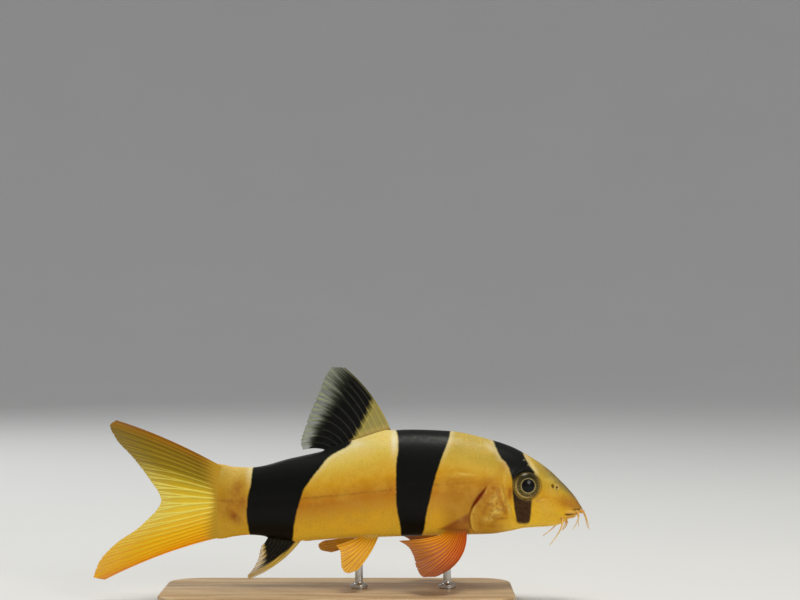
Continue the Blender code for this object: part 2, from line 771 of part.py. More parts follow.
def main():
    for obj in list(bpy.data.objects):
        bpy.data.objects.remove(obj)
    head = make_head()
    make_trunk()
    make_tail_stalk()
    make_middle_fins()
    for side, name in ((-1, "right"), (1, "left")):
        eyeball("eye_" + name, side)
        make_paired_fins(side, name)
        make_barbels(head, side, name)
    make_base()
    make_rods()


main()
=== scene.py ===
import math

import bmesh
import bpy
import numpy as np
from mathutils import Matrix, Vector


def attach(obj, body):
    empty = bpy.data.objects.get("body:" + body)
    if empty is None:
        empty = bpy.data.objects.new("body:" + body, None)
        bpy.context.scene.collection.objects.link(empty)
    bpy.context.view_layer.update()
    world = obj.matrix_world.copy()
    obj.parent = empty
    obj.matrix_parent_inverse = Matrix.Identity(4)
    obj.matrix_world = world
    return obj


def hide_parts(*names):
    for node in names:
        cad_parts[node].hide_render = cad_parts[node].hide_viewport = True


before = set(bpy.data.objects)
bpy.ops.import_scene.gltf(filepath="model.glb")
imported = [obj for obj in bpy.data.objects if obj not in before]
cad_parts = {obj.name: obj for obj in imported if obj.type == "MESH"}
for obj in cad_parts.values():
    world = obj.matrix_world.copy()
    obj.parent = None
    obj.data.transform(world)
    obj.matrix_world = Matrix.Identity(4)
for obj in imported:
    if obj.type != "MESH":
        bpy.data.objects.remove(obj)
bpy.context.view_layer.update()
print("frame loaded:", len(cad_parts), "solids")

# Everything below is worked out in millimetres, with the fish straight, and becomes metres in newPiece
metre = 0.001
quarterTurn = math.pi / 2


# The body's plan, as in the solids: (place along the fish, value), from the snout back
body = {
    "snoutX": 49.0,
    "skinEndX": -24.7,          # the skin tapers to an edge between the tail's rays
    "taperX": -21.0,            # and starts to do so here
    "back": [
        (49.0, 18.4), (48.4, 19.7), (47.6, 21.0), (46.4, 22.5), (44.4, 24.6), (42.4, 26.5), (38.4, 29.3),
        (34.4, 31.4), (30.4, 32.7), (22.4, 34.4), (14.4, 34.7), (10.8, 34.5), (4.4, 32.7), (-2.6, 30.5),
        (-9.6, 28.9), (-17.6, 27.1), (-20.6, 27.2), (-23.6, 27.9),
    ],
    "belly": [
        (49.0, 18.4), (48.2, 17.9), (46.8, 17.3), (45.6, 16.5), (44.4, 15.8), (42.4, 15.4), (37.4, 15.1),
        (34.4, 14.5), (30.4, 13.9), (22.4, 13.7), (12.4, 13.4), (0.0, 12.9), (-6.8, 12.5), (-12.0, 13.0),
        (-17.6, 13.6), (-20.6, 13.3), (-23.6, 12.6),
    ],
    "halfWidth": [
        (49.0, 0.0), (48.4, 1.45), (47.4, 2.15), (46.0, 2.75), (44.0, 3.4), (41.0, 4.15), (37.5, 4.85),
        (33.0, 5.5), (28.0, 5.95), (20.0, 6.2), (12.0, 6.1), (4.0, 5.5), (-3.0, 4.7), (-10.0, 3.7),
        (-16.0, 2.75), (-20.0, 1.9), (-23.6, 1.0),
    ],
    "widestLevel": [(49.0, 0.5), (46.0, 0.4), (38.0, 0.42), (28.0, 0.42), (10.0, 0.45), (-23.6, 0.5)],
    "upperFullness": [(49.0, 2.2), (38.0, 2.15), (20.0, 2.0), (0.0, 1.9), (-23.6, 2.0)],
    "lowerFullness": [(49.0, 2.0), (44.0, 2.5), (34.0, 2.7), (20.0, 2.5), (0.0, 2.25), (-23.6, 2.0)],
    "bendStartX": 8.0,          # the tail swings to the left from here back
    "bendReach": 2.2,           # and this far at its tips
}


def smoothCurve(points):
    # a curve through the points that never swings past them
    ordered = np.array(sorted(points), float)
    xs, ys = ordered[:, 0], ordered[:, 1]
    rise = np.diff(ys) / np.diff(xs)
    both = rise[:-1] * rise[1:]
    total = np.where(both > 0, rise[:-1] + rise[1:], 1.0)
    slope = np.concatenate([rise[:1], np.where(both > 0, 2 * both / total, 0.0), rise[-1:]])

    def value(x):
        x = np.clip(x, xs[0], xs[-1])
        i = np.clip(np.searchsorted(xs, x, side="right") - 1, 0, len(xs) - 2)
        wide = xs[i + 1] - xs[i]
        t = (x - xs[i]) / wide
        start = ys[i] * (1 + 2 * t) * (1 - t) ** 2 + slope[i] * wide * t * (1 - t) ** 2
        return start + ys[i + 1] * t * t * (3 - 2 * t) + slope[i + 1] * wide * t * t * (t - 1)

    return value


def fromSnout(points):
    # runs in the root of the way from the snout's tip, which rounds the snout
    curve = smoothCurve([(math.sqrt(body["snoutX"] - x), value) for x, value in points])
    return lambda x: curve(np.sqrt(np.maximum(body["snoutX"] - x, 0.0)))


def ease(value, low, high):
    t = np.clip((value - low) / (high - low), 0.0, 1.0)
    return t * t * (3 - 2 * t)


def hill(distance, width):
    return np.exp(-((distance / width) ** 2))


backHeight = fromSnout(body["back"])
bellyHeight = fromSnout(body["belly"])
plainWidth = fromSnout(body["halfWidth"])
widestShare = fromSnout(body["widestLevel"])
upperFullness = fromSnout(body["upperFullness"])
lowerFullness = fromSnout(body["lowerFullness"])


def rearShare(x):
    return np.clip((body["taperX"] - x) / (body["taperX"] - body["skinEndX"]), 0.0, 1.0)


def halfWidth(x):
    return plainWidth(x) * (1 - rearShare(x) ** 2) ** 0.9


def widestHeight(x):
    return bellyHeight(x) + widestShare(x) * (backHeight(x) - bellyHeight(x))


def halfSection(x, above):
    level = widestHeight(x)
    fullness = np.where(above, upperFullness(x), lowerFullness(x))
    reach = np.where(above, backHeight(x) - level, level - bellyHeight(x))
    return fullness, reach * (1 - 0.04 * rearShare(x) ** 2)


def bodyPoint(x, turn):
    # turn is 0 on the back, a quarter turn on the right flank and half a turn on the belly
    side, up = np.sin(turn), np.cos(turn)
    fullness, reach = halfSection(x, up >= 0)
    y = -np.sign(side) * halfWidth(x) * np.abs(side) ** (2 / fullness)
    z = widestHeight(x) + np.sign(up) * reach * np.abs(up) ** (2 / fullness)
    return np.stack([x + 0 * turn, y, z], -1)


def bodyNormal(x, turn):
    # worked out in the root of the way from the snout, where the snout is round and not pointed
    step = 0.01
    along = np.sqrt(np.maximum(body["snoutX"] - x, 0.0))
    ahead, behind = body["snoutX"] - np.maximum(along - step, 0.0) ** 2, body["snoutX"] - (along + step) ** 2
    lengthwise = bodyPoint(ahead, turn) - bodyPoint(behind, turn)
    around = bodyPoint(x, turn + step) - bodyPoint(x, turn - step)
    normal = np.cross(around, lengthwise)
    size = np.linalg.norm(normal, axis=-1, keepdims=True)
    return np.where(size > 1e-9, normal / np.maximum(size, 1e-9), np.array([1.0, 0.0, 0.0]))


def skinPlace(x, z, side):
    # the plain body's point at one place and height, and the way out of it. side is -1 on the right
    level = widestHeight(x)
    fullness, reach = halfSection(x, z >= level)
    share = np.clip(np.abs(z - level) / reach, 0.0, 1.0)
    turn = np.arccos(np.sign(z - level) * share ** (fullness / 2))
    flip = np.array([1.0, -side, 1.0])
    return bodyPoint(x, turn) * flip, bodyNormal(x, turn) * flip


def underside(x, y):
    fullness, reach = halfSection(x, False)
    share = min(abs(y) / halfWidth(x), 1.0)
    return x, y, widestHeight(x) - reach * (1 - share ** fullness) ** (1 / fullness)


def bent(points):
    # the tail's swing to the left
    behind = np.maximum(body["bendStartX"] - points[..., 0], 0.0) / (body["bendStartX"] + body["snoutX"])
    swung = points.copy()
    swung[..., 1] += body["bendReach"] * behind ** 2
    return swung


def newPiece(name, points, faces, look, replaced, masks=None, swings=True, sharp=None):
    # one closed mesh, in metres. masks are values kept for each point, which its material reads
    mesh = bpy.data.meshes.new(name)
    placed = bent(points) if swings else points
    mesh.from_pydata((placed * metre).tolist(), [], faces)
    for title, values in (masks or {}).items():
        layer = mesh.attributes.new(title, "FLOAT", "POINT")
        layer.data.foreach_set("value", np.asarray(values, np.float32))
    shape = bmesh.new()
    shape.from_mesh(mesh)
    bmesh.ops.remove_doubles(shape, verts=shape.verts, dist=1e-6)
    bmesh.ops.recalc_face_normals(shape, faces=shape.faces)
    shape.to_mesh(mesh)
    shape.free()
    mesh.shade_smooth()
    if sharp is not None:
        mesh.set_sharp_from_angle(angle=math.radians(sharp))
    mesh.materials.append(look)
    piece = bpy.data.objects.new(name, mesh)
    bpy.context.scene.collection.objects.link(piece)
    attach(piece, "root")
    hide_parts(*replaced)
    return piece


def tube(rings, capStart=True, capEnd=True):
    # rings is (ring, point round it, xyz)
    rows, count = rings.shape[:2]
    points = rings.reshape(-1, 3)
    faces = []
    for row in range(rows - 1):
        for k in range(count):
            after = (k + 1) % count
            here, there = row * count, (row + 1) * count
            faces.append((here + k, here + after, there + after, there + k))
    if capStart:
        faces.append(tuple(range(count)))
    if capEnd:
        faces.append(tuple(range((rows - 1) * count, rows * count)))
    return points, faces


# Small helpers for the materials' nodes

def feed(tree, socket, value):
    if isinstance(value, bpy.types.NodeSocket):
        tree.links.new(value, socket)
    else:
        socket.default_value = value


def put(tree, kind, sockets=None, **settings):
    node = tree.nodes.new("ShaderNode" + kind)
    for name, value in settings.items():
        setattr(node, name, value)
    for name, value in (sockets or {}).items():
        feed(tree, node.inputs[name], value)
    return node


def math2(tree, operation, first, second=0.0, clamp=False):
    node = put(tree, "Math", operation=operation, use_clamp=clamp)
    feed(tree, node.inputs[0], first)
    feed(tree, node.inputs[1], second)
    return node.outputs[0]


def remap(tree, value, low, high, toLow=0.0, toHigh=1.0):
    node = put(tree, "MapRange", interpolation_type="SMOOTHSTEP")
    for index, given in enumerate((value, low, high, toLow, toHigh)):
        feed(tree, node.inputs[index], given)
    return node.outputs[0]


def blend(tree, mask, under, over, mode="MIX"):
    node = put(tree, "Mix", data_type="RGBA", blend_type=mode)
    for index, given in ((0, mask), (6, under), (7, over)):
        feed(tree, node.inputs[index], given)
    return node.outputs[2]


def mask(tree, name):
    return put(tree, "Attribute", attribute_name=name).outputs["Fac"]


def noise(tree, where, scale, detail=3.0, rough=0.5):
    sockets = {"Vector": where, "Scale": scale, "Detail": detail, "Roughness": rough}
    return put(tree, "TexNoise", sockets).outputs[0]


def millimetres(tree):
    # the surface's own place in millimetres, which stays with the piece
    place = put(tree, "TexCoord").outputs["Object"]
    return put(tree, "VectorMath", {"Vector": place, "Scale": 1000.0}, operation="SCALE").outputs[0]


def stretched(tree, where, factors):
    node = put(tree, "VectorMath", operation="MULTIPLY")
    feed(tree, node.inputs[0], where)
    feed(tree, node.inputs[1], factors)
    return node.outputs[0]


def srgb(red, green, blue):
    def linear(value):
        value /= 255
        return value / 12.92 if value <= 0.04045 else ((value + 0.055) / 1.055) ** 2.4
    return linear(red), linear(green), linear(blue), 1.0


def ramp(tree, value, stops):
    node = put(tree, "ValToRGB", {"Fac": value})
    bar = node.color_ramp
    bar.elements[0].position, bar.elements[0].color = stops[0]
    bar.elements[1].position, bar.elements[1].color = stops[-1]
    for place, colour in stops[1:-1]:
        bar.elements.new(place).color = colour
    return node.outputs[0]


def newLook(name, **fixed):
    look = bpy.data.materials.new(name)
    look.use_nodes = True
    shader = look.node_tree.nodes["Principled BSDF"]
    for socket, value in fixed.items():
        shader.inputs[socket.replace("_", " ")].default_value = value
    return look, look.node_tree, shader


def bump(tree, shader, height, distance, strength=1.0):
    node = put(tree, "Bump", {"Strength": strength, "Distance": distance, "Height": height})
    tree.links.new(node.outputs[0], shader.inputs["Normal"])


def newGroup(name, inputs, outputs):
    group = bpy.data.node_groups.new(name, "ShaderNodeTree")
    for title, value in inputs.items():
        socket = group.interface.new_socket(name=title, in_out="INPUT", socket_type="NodeSocketFloat")
        socket.default_value = value
    for title in outputs:
        group.interface.new_socket(name=title, in_out="OUTPUT", socket_type="NodeSocketFloat")
    return group, group.nodes.new("NodeGroupInput"), group.nodes.new("NodeGroupOutput")


def useGroup(tree, group, sockets):
    node = tree.nodes.new("ShaderNodeGroup")
    node.node_tree = group
    for name, value in sockets.items():
        feed(tree, node.inputs[name], value)
    return node


def makeWetSkinGroup():
    # pores, minute scales and uneven slime, which skin, feelers and fins share
    group, given, out = newGroup("wetSkin", {"Scale size": 3.0, "Unevenness": 1.0}, ("Height", "Speckle", "Gloss"))
    place = millimetres(group)
    cells = put(group, "TexVoronoi", {"Vector": place, "Scale": given.outputs["Scale size"]}, feature="F1")
    pores = noise(group, place, 9.0, 2.0)
    soft = noise(group, place, 1.1, 3.0)
    scales = math2(group, "MULTIPLY", cells.outputs["Distance"], -0.6)
    height = math2(group, "ADD", scales, math2(group, "MULTIPLY", pores, 0.5))
    height = math2(group, "MULTIPLY", height, given.outputs["Unevenness"])
    group.links.new(math2(group, "ADD", height, math2(group, "MULTIPLY", soft, 0.8)), out.inputs["Height"])
    group.links.new(remap(group, noise(group, place, 5.5, 4.0, 0.7), 0.52, 0.72), out.inputs["Speckle"])
    group.links.new(remap(group, soft, 0.35, 0.68), out.inputs["Gloss"])
    return group


wetSkin = makeWetSkinGroup()


# The skin: head, trunk and tail stalk as one surface

eye = {
    "x": 37.5, "y": 3.85, "z": 23.8,
    "radius": 2.75,
    "halfDepth": 1.4,
    "opening": 2.48,            # the edge of the skin over the ball
    "rim": 3.2,
}
nostril = {"x": 43.5, "z": 23.3, "hole": 0.24, "rim": 0.38, "rearHole": (42.75, 23.6), "rearSize": 0.26}
mouth = {"level": 17.95, "cornerX": 45.2, "upperLip": 18.3, "lowerLip": 17.5, "crease": 18.85}
gillLine = smoothCurve([    # (height, place along) of the gill cover's rear edge
    (13.8, 28.2), (14.6, 27.2), (16.0, 26.4), (17.6, 26.2), (19.4, 26.7), (21.4, 28.0), (23.4, 29.4),
    (25.6, 30.2), (28.5, 30.5), (33.0, 30.6),
])
cheekRidge = smoothCurve([(15.4, 36.4), (17.4, 35.3), (19.4, 34.4), (21.4, 33.5), (23.4, 33.0)])
lateralLine = smoothCurve([(-23.6, 20.4), (-17.0, 20.6), (-7.6, 21.2), (2.4, 22.2), (11.4, 23.2), (20.0, 24.2),
                           (28.0, 24.8), (33.0, 26.2)])

# Each black band's rear and front edge, as (height, place along)
bands = {
    "eye": {
        "rear": [(14.5, 35.9), (16.2, 35.6), (18.0, 35.2), (21.0, 34.8), (23.0, 34.6), (24.6, 34.6), (26.5, 34.2),
                 (28.3, 33.4), (29.3, 32.4), (30.9, 31.6), (32.9, 30.8)],
        "front": [(14.5, 37.9), (16.2, 38.1), (18.0, 38.3), (21.0, 38.5), (24.0, 38.8), (26.3, 39.1), (27.5, 38.3),
                  (28.8, 37.5), (30.3, 36.9), (32.9, 36.2)],
    },
    "shoulder": {
        "rear": [(12.0, 13.2), (13.9, 12.6), (16.0, 12.4), (18.0, 12.0), (21.0, 11.6), (26.0, 11.6), (28.9, 11.7),
                 (30.9, 12.0), (32.9, 12.0), (34.6, 11.6)],
        "front": [(12.0, 16.4), (14.5, 17.0), (15.1, 17.2), (17.4, 17.5), (19.6, 17.9), (22.0, 18.5), (24.6, 19.1),
                  (26.5, 19.7), (28.9, 20.5), (30.9, 21.3), (32.9, 22.1), (34.7, 22.6)],
    },
    "tail": {
        "rear": [(13.0, -17.5), (13.8, -17.7), (15.8, -18.0), (17.8, -18.2), (19.8, -18.1), (21.8, -17.9),
                 (23.8, -17.4), (25.8, -17.2), (27.4, -17.0)],
        "front": [(12.4, -9.1), (14.0, -8.8), (15.9, -8.6), (17.9, -8.2), (19.5, -7.8), (21.5, -7.2), (23.3, -6.5),
                  (24.7, -5.5), (26.3, -4.3), (27.7, -3.1), (29.0, -2.1), (30.0, -0.7), (30.8, 0.9), (31.8, 2.5),
                  (32.8, 3.2)],
    },
}


def eyeAxes(side):
    _, skin = skinPlace(np.array(eye["x"]), np.array(eye["z"]), side)
    facing = np.array([skin[0], skin[1], skin[2] * 0.4])
    facing /= np.linalg.norm(facing)
    forward = np.cross([0.0, 0.0, 1.0], facing) * -side
    forward /= np.linalg.norm(forward)
    return facing, forward, np.cross(facing, forward) * -side


def fromEye(points):
    # how far each point lies from the axis of the eye on its own side
    away = np.full(len(points), 99.0)
    for side in (-1, 1):
        _, forward, up = eyeAxes(side)
        off = points - np.array([eye["x"], side * eye["y"], eye["z"]])
        there = np.hypot(off @ forward, off @ up)
        away = np.where(points[:, 1] * side > 0.5, np.minimum(away, there), away)
    return away


def surfaceAway(z, normal, level):
    # how far along the skin a point lies above a level
    return (z - level) / np.sqrt(np.maximum(1 - normal[:, 2] ** 2, 0.02))


# the pectoral fin's muscle, (place along, height) of its corners
shoulderFlesh = [(20.0, 15.2), (26.4, 14.2), (26.3, 18.8)]


def shapeSkin(points, normal):
    # how far the skin stands off the plain body, and the masks that the same forms give its colours
    x, y, z = points.T
    height = np.zeros(len(x))
    # painted shade, gathered below for the hollows: the gill slit, the eye socket's edge, the nostrils, the mouth, the
    # snout's crease and the throat's folds
    shadeInHollows = np.zeros(len(x))

    # the gill cover: swollen, its rear edge over a sunken slit
    onSide = ease(z, 14.2, 15.6) * (1 - ease(z, 22.0, 24.4)) * (x > 18)
    ahead = x - gillLine(z)
    rise = ease(ahead, -0.12, 0.1)
    deeper = 0.2 + 0.8 * ease(z, 17.5, 20.5)
    behind = -0.2 * np.exp(np.minimum(ahead, 0) / 1.6) - 0.24 * deeper * hill(ahead + 0.16, 0.2)
    swell = 0.3 * hill(np.hypot((x - 30.6) / 3.2, (z - 18.8) / 3.6), 1.0)
    cover = swell + 0.26 * np.exp(-np.maximum(ahead, 0) / 1.4) - 0.08 * hill(ahead - 1.5, 0.45)
    height += onSide * (behind * (1 - rise) + cover * rise)
    slit = onSide * hill(ahead + 0.12, 0.1 + 0.36 * hill(z - 21.5, 1.3)) * (0.2 + 0.8 * ease(z, 18.0, 20.8))
    flap = onSide * hill(ahead - 0.35, 0.3)
    # painted shade in the gill slit
    shadeInHollows = np.maximum(shadeInHollows, 0.9 * slit)

    # the ridge in front of the gill cover, with a hollow behind it
    onCheek = ease(z, 15.2, 17.0) * (1 - ease(z, 22.4, 24.4)) * (x > 30)
    off = x - cheekRidge(z)
    height += onCheek * (0.18 * hill(off, 0.34) - 0.12 * hill(off + 0.8, 0.4) - 0.06 * hill(off - 0.6, 0.3))
    furrow = onCheek * hill(off + 1.45 + 0.2 * np.sin(z * 2.1), 0.42) * ease(z, 17.0, 19.0)

    # folds of the gill cover
    fold = np.sin((x - 0.45 * z) * 2.4 + 1.2 * np.sin(z * 0.9)) * ease(ahead, 0.6, 2.2) * (1 - ease(ahead, 5.0, 6.6))
    height += onSide * 0.035 * fold

    # the slit below and ahead of the eye, where the spine lies
    spine = 20.75 + 0.10 * (x - 37.0) + 0.03 * (x - 39.0) ** 2
    onSpine = ease(x, 36.4, 37.4) * (1 - ease(x, 40.6, 41.8))
    height += onSpine * (0.05 * hill(z - spine + 0.45, 0.4) - 0.12 * hill(z - spine, 0.18))

    # the eye's socket and its rim of skin
    away = fromEye(points)
    socket = 1 - ease(away, eye["opening"], eye["rim"])
    height = height * (1 - socket) + 0.07 * hill(away - eye["rim"], 0.3) - 0.34 * socket
    dent = 1 - ease(away, eye["opening"] - 0.25, eye["opening"])
    height = height * (1 - dent) - 1.6 * dent
    # painted shade along the edge of the eye's socket
    shadeInHollows = np.maximum(shadeInHollows, 0.9 * hill(away - eye["opening"], 0.1))

    # two openings for each nostril, the front one in a short tube
    nose = np.zeros(len(x))
    for side in (-1, 1):
        here = y * side > 0
        tubeMiddle, _ = skinPlace(np.array(nostril["x"]), np.array(nostril["z"]), side)
        near = np.where(here, np.linalg.norm(points - tubeMiddle, axis=1), 99.0)
        inside = 1 - ease(near, nostril["hole"] - 0.1, nostril["hole"] + 0.08)
        height += 0.2 * hill(near - nostril["rim"], 0.14) + 0.08 * hill(near, 0.9)
        height = height * (1 - inside) - 0.5 * inside
        rearX, rearZ = nostril["rearHole"]
        rearMiddle, _ = skinPlace(np.array(rearX), np.array(rearZ), side)
        offset = (points - rearMiddle) * np.array([1.0, 1.0, 0.8])
        rear = np.where(here, np.linalg.norm(offset, axis=1), 99.0)
        deep = 1 - ease(rear, nostril["rearSize"] - 0.08, nostril["rearSize"] + 0.14)
        height += 0.05 * hill(rear - 0.42, 0.16)
        height = height * (1 - deep) - 0.35 * deep
        # painted shade in both nostrils
        shadeInHollows = np.maximum(shadeInHollows, np.maximum(0.9 * inside, 0.75 * deep))
        nose = np.maximum(nose, hill(near - nostril["rim"], 0.2))

    # the mouth, level round the underside of the snout, and its lips
    open_ = ease(x, mouth["cornerX"] - 0.3, mouth["cornerX"] + 0.6)
    slitAway = surfaceAway(z, normal, mouth["level"])
    upper = surfaceAway(z, normal, mouth["upperLip"])
    lower = surfaceAway(z, normal, mouth["lowerLip"])
    crease = surfaceAway(z, normal, mouth["crease"])
    lips = 0.28 * hill(upper - 0.02, 0.3) + 0.34 * hill(lower + 0.08, 0.42)
    height += open_ * (lips - 0.7 * hill(slitAway, 0.13))
    height -= 0.12 * hill(crease, 0.14) * ease(x, 46.6, 47.6)
    lipMask = open_ * np.maximum(hill(upper, 0.42), hill(lower, 0.6))
    height += 0.022 * lipMask * np.sin((np.abs(y) + 0.5 * (49.0 - x)) * 10.0 + np.sin(z * 3.0))
    creaseShade = hill(crease, 0.2) * ease(x, 46.4, 47.4)
    # painted shade in the mouth's slit and the snout's crease
    shadeInHollows = np.maximum(shadeInHollows, open_ * hill(slitAway, 0.17))
    shadeInHollows = np.maximum(shadeInHollows, 0.55 * creaseShade)

    # folds under the head where the gill covers meet the throat
    throat = ease(x, 27.0, 29.0) * (1 - ease(x, 41.0, 43.5)) * (z < widestHeight(x))
    for place, depth in ((0.9, 0.16), (2.1, 0.1)):
        fold = throat * hill(np.abs(y) - place * (1 + (43.0 - x) * 0.03), 0.21)
        height -= depth * fold
        # painted shade in the throat's folds
        shadeInHollows = np.maximum(shadeInHollows, 0.3 * fold)

    # the lateral line's shallow furrow
    height -= 0.08 * hill(z - lateralLine(x), 1.1) * (x < 29)

    # flesh at the roots of the fins, the pectoral's muscle and the vent
    above = z > widestHeight(x)
    height += 0.34 * hill(y, 0.75) * above * ease(x, -3.4, -1.8) * (1 - ease(x, 9.4, 11.4))
    height += 0.3 * hill(y, 0.7) * ~above * ease(x, -15.0, -13.4) * (1 - ease(x, -8.2, -7.0))
    inside = np.full(len(x), 9.0)
    for (ax, az), (bx, bz) in zip(shoulderFlesh, shoulderFlesh[1:] + shoulderFlesh[:1]):
        inside = np.minimum(inside, ((bx - ax) * (z - az) - (bz - az) * (x - ax)) / math.hypot(bx - ax, bz - az))
    flesh = ease(inside, -0.25, 0.45) * ease(gillLine(z) - x, -0.1, 0.3)
    height += 0.2 * ease(inside, -0.6, 1.4) * ease(gillLine(z) - x, 0.0, 0.5)
    vent = hill(np.hypot((x + 6.0) / 1.4, y), 0.55) * ~above
    height += 0.16 * vent - 0.22 * hill(np.hypot(x + 6.0, y), 0.2) * ~above
    return height, {
        "shadeInHollows": shadeInHollows, "slit": slit, "furrow": furrow, "lip": lipMask, "crease": creaseShade, "flesh": flesh,
        "eyeAway": away, "nose": nose, "flap": flap,
    }


# Soft patches of colour on both sides of the head and the tail stalk:
# (place along, height, half length, half height, lean, strength)
blush = [
    (34.1, 22.3, 0.5, 1.4, 0.1, 1.0), (33.3, 19.4, 0.28, 1.3, -0.3, 0.9), (31.9, 22.4, 0.3, 1.2, -0.2, 0.6), (28.5, 22.3, 0.6, 1.0, 0.75, 1.0), (27.4, 20.7, 0.6, 1.2, 0.5, 1.0),
    (30.2, 24.8, 1.3, 0.8, 0.2, 0.5), (31.3, 23.5, 1.0, 0.35, -0.5, 0.8), (32.6, 17.5, 1.4, 0.28, 0.1, 0.75),
    (30.9, 15.9, 1.6, 0.35, 0.15, 0.45), (28.3, 16.2, 0.8, 1.0, 0.0, 0.4), (39.4, 20.8, 1.0, 0.14, 0.2, 0.7),
    (46.2, 20.2, 2.0, 1.3, -0.7, 0.9), (33.0, 27.6, 0.7, 1.2, 0.5, 0.35), (29.6, 20.2, 0.35, 1.5, 0.5, 0.45),
    (-20.2, 22.7, 1.5, 2.0, 0.2, 1.0), (-20.6, 17.4, 1.3, 1.4, -0.5, 1.0), (-19.2, 20.2, 1.1, 2.0, 0.0, 0.85),
    (-21.0, 20.2, 2.0, 1.5, 0.0, 0.55),
]
# painted highlights of golden sheen on the gill cover, the cheek's ridges, the flank and the back
gleam = [
    (30.9, 21.3, 0.8, 1.1, 0.3, 0.7), (31.4, 18.9, 1.0, 0.9, 0.3, 0.95), (29.8, 17.4, 1.0, 0.6, 0.3, 0.6),
    (32.75, 22.0, 0.2, 1.35, -0.25, 1.0), (33.95, 19.5, 0.22, 1.35, -0.3, 1.0), (38.9, 27.4, 0.3, 1.5, -0.5, 0.8),
    (41.3, 19.3, 2.4, 1.7, 0.0, 0.25), (24.4, 26.1, 2.3, 0.26, 0.0, 1.0), (42.3, 24.9, 1.6, 0.7, -0.6, 0.3),
    (8.8, 33.2, 2.6, 1.0, 0.0, 0.5), (33.1, 25.2, 0.3, 1.0, 0.1, 0.5),
]
# painted whitish sheen in patches on the back, beside the bands
backSheen = [
    (11.25, 32.6, 0.55, 2.4, 0.0, 1.0), (30.5, 31.2, 0.7, 1.1, -0.9, 0.45), (3.6, 31.8, 1.2, 0.7, 1.0, 0.6),
    (-17.7, 26.0, 0.5, 2.0, 0.0, 0.4),
]


def patches(x, z, spots):
    total = np.zeros(len(x))
    for spotX, spotZ, halfLong, halfTall, lean, strength in spots:
        along = (x - spotX - lean * (z - spotZ)) / halfLong
        total = np.maximum(total, strength * hill(np.hypot(along, (z - spotZ) / halfTall), 1.0))
    return total


def bandDistance(x, y, z, which):
    # millimetres inside the band's nearer edge, and less than 0 outside it
    rear, front = smoothCurve(bands[which]["rear"]), smoothCurve(bands[which]["front"])
    step = 0.1
    frontSlope = (front(z + step) - front(z - step)) / (2 * step)
    rearSlope = (rear(z + step) - rear(z - step)) / (2 * step)
    inside = (front(z) - x) / np.sqrt(1 + frontSlope ** 2)
    return np.minimum(inside, (x - rear(z)) / np.sqrt(1 + rearSlope ** 2))


def skinMasks(points):
    x, y, z = points.T
    eyeBand = np.minimum(bandDistance(x, y, z, "eye"), (z - 16.1 - 0.25 * (x - 36.9) ** 2) * 0.5)
    shoulder = np.minimum(bandDistance(x, y, z, "shoulder"), (z - 13.75) * 1.4 + np.abs(y) * 0.5)
    tail = bandDistance(x, y, z, "tail")
    low, high = bellyHeight(x), backHeight(x)
    return {
        "band": np.clip(np.maximum(np.maximum(eyeBand, shoulder), tail), -6, 6),
        "brown": ease(x, 33.0, 34.0) * (1 - ease(z, 20.2, 22.4)),
        "blush": patches(x, z, blush),
        "backSheen": patches(x, z, backSheen),
        "net": patches(x, z, [(30.9, 20.2, 2.4, 3.6, 0.2, 1.0)]) * (x > gillLine(z)),
        "lineAway": np.clip(z - lateralLine(x), -4, 4),
        "pit": patches(x, z, [(37.05, 28.8, 0.14, 0.14, 0, 0.8), (37.85, 27.8, 0.13, 0.13, 0, 0.9)]),
        "gleam": patches(x, z, gleam),
        "level": np.clip((z - low) / np.maximum(high - low, 0.1), 0, 1),
    }


def skinGrid():
    # a flat sheet of cells, station by turn, finer where the head's forms need it, before it becomes the body
    stations = np.concatenate([
        body["snoutX"] - np.linspace(0.0, math.sqrt(2.0), 17)[:-1] ** 2,
        np.linspace(47.0, 24.5, 71)[:-1],
        np.linspace(24.5, -20.5, 91)[:-1],
        np.linspace(-20.5, body["skinEndX"], 21),
    ])
    turns = 132
    rows = len(stations)
    sheet = bmesh.new()
    corners = [[sheet.verts.new((i, k, 0)) for k in range(turns + 1)] for i in range(rows)]
    for i in range(rows - 1):
        for k in range(turns):
            sheet.faces.new((corners[i][k], corners[i + 1][k], corners[i + 1][k + 1], corners[i][k + 1]))

    def onBody(places):
        x = np.interp(places[:, 0], np.arange(rows), stations)
        return x, places[:, 1] / turns * 2 * math.pi

    def refine(wanted):
        centres = np.array([face.calc_center_median()[:] for face in sheet.faces])
        x, turn = onBody(centres)
        chosen = wanted(bodyPoint(x, turn))
        edges = {edge for face, keep in zip(sheet.faces, chosen) if keep for edge in face.edges}
        bmesh.ops.subdivide_edges(sheet, edges=list(edges), cuts=1, use_grid_fill=True)

    def headForms(p):
        x, y, z = p.T
        gill = (np.abs(x - gillLine(z)) < 1.6) & (z < 27.5)
        fins = (np.abs(y) < 1.6) & (x < 12.0) & (x > -15.5)
        return (x > 31.5) | gill | fins | ((x > 24.5) & (z < 25.0))

    def finest(p):
        x, y, z = p.T
        away = fromEye(p)
        rim = (away > 2.1) & (away < 3.35)
        lips = (x > 44.6) & (z < 19.3) & (z > 16.6)
        holes = (np.hypot(x - 43.0, z - 23.5) < 1.35)
        gill = (np.abs(x - gillLine(z) + 0.1) < 0.45) & (z < 25.5) & (z > 14.0)
        return rim | lips | holes | gill

    refine(headForms)
    refine(finest)
    places = np.array([vert.co[:] for vert in sheet.verts])
    faces = [tuple(vert.index for vert in face.verts) for face in sheet.faces]
    sheet.free()
    return (*onBody(places), faces)


def makeSkin():
    x, turn, faces = skinGrid()
    plain = bodyPoint(x, turn)
    normal = bodyNormal(x, turn)
    height, masks = shapeSkin(plain, normal)
    height *= 1 - ease(body["taperX"] - x, 0.8, 2.4)
    masks.update(skinMasks(plain))
    points = plain + normal * height[:, None]
    return newPiece("skin", points, faces, skinLook(), ("head", "trunk", "tail_stalk"), masks)


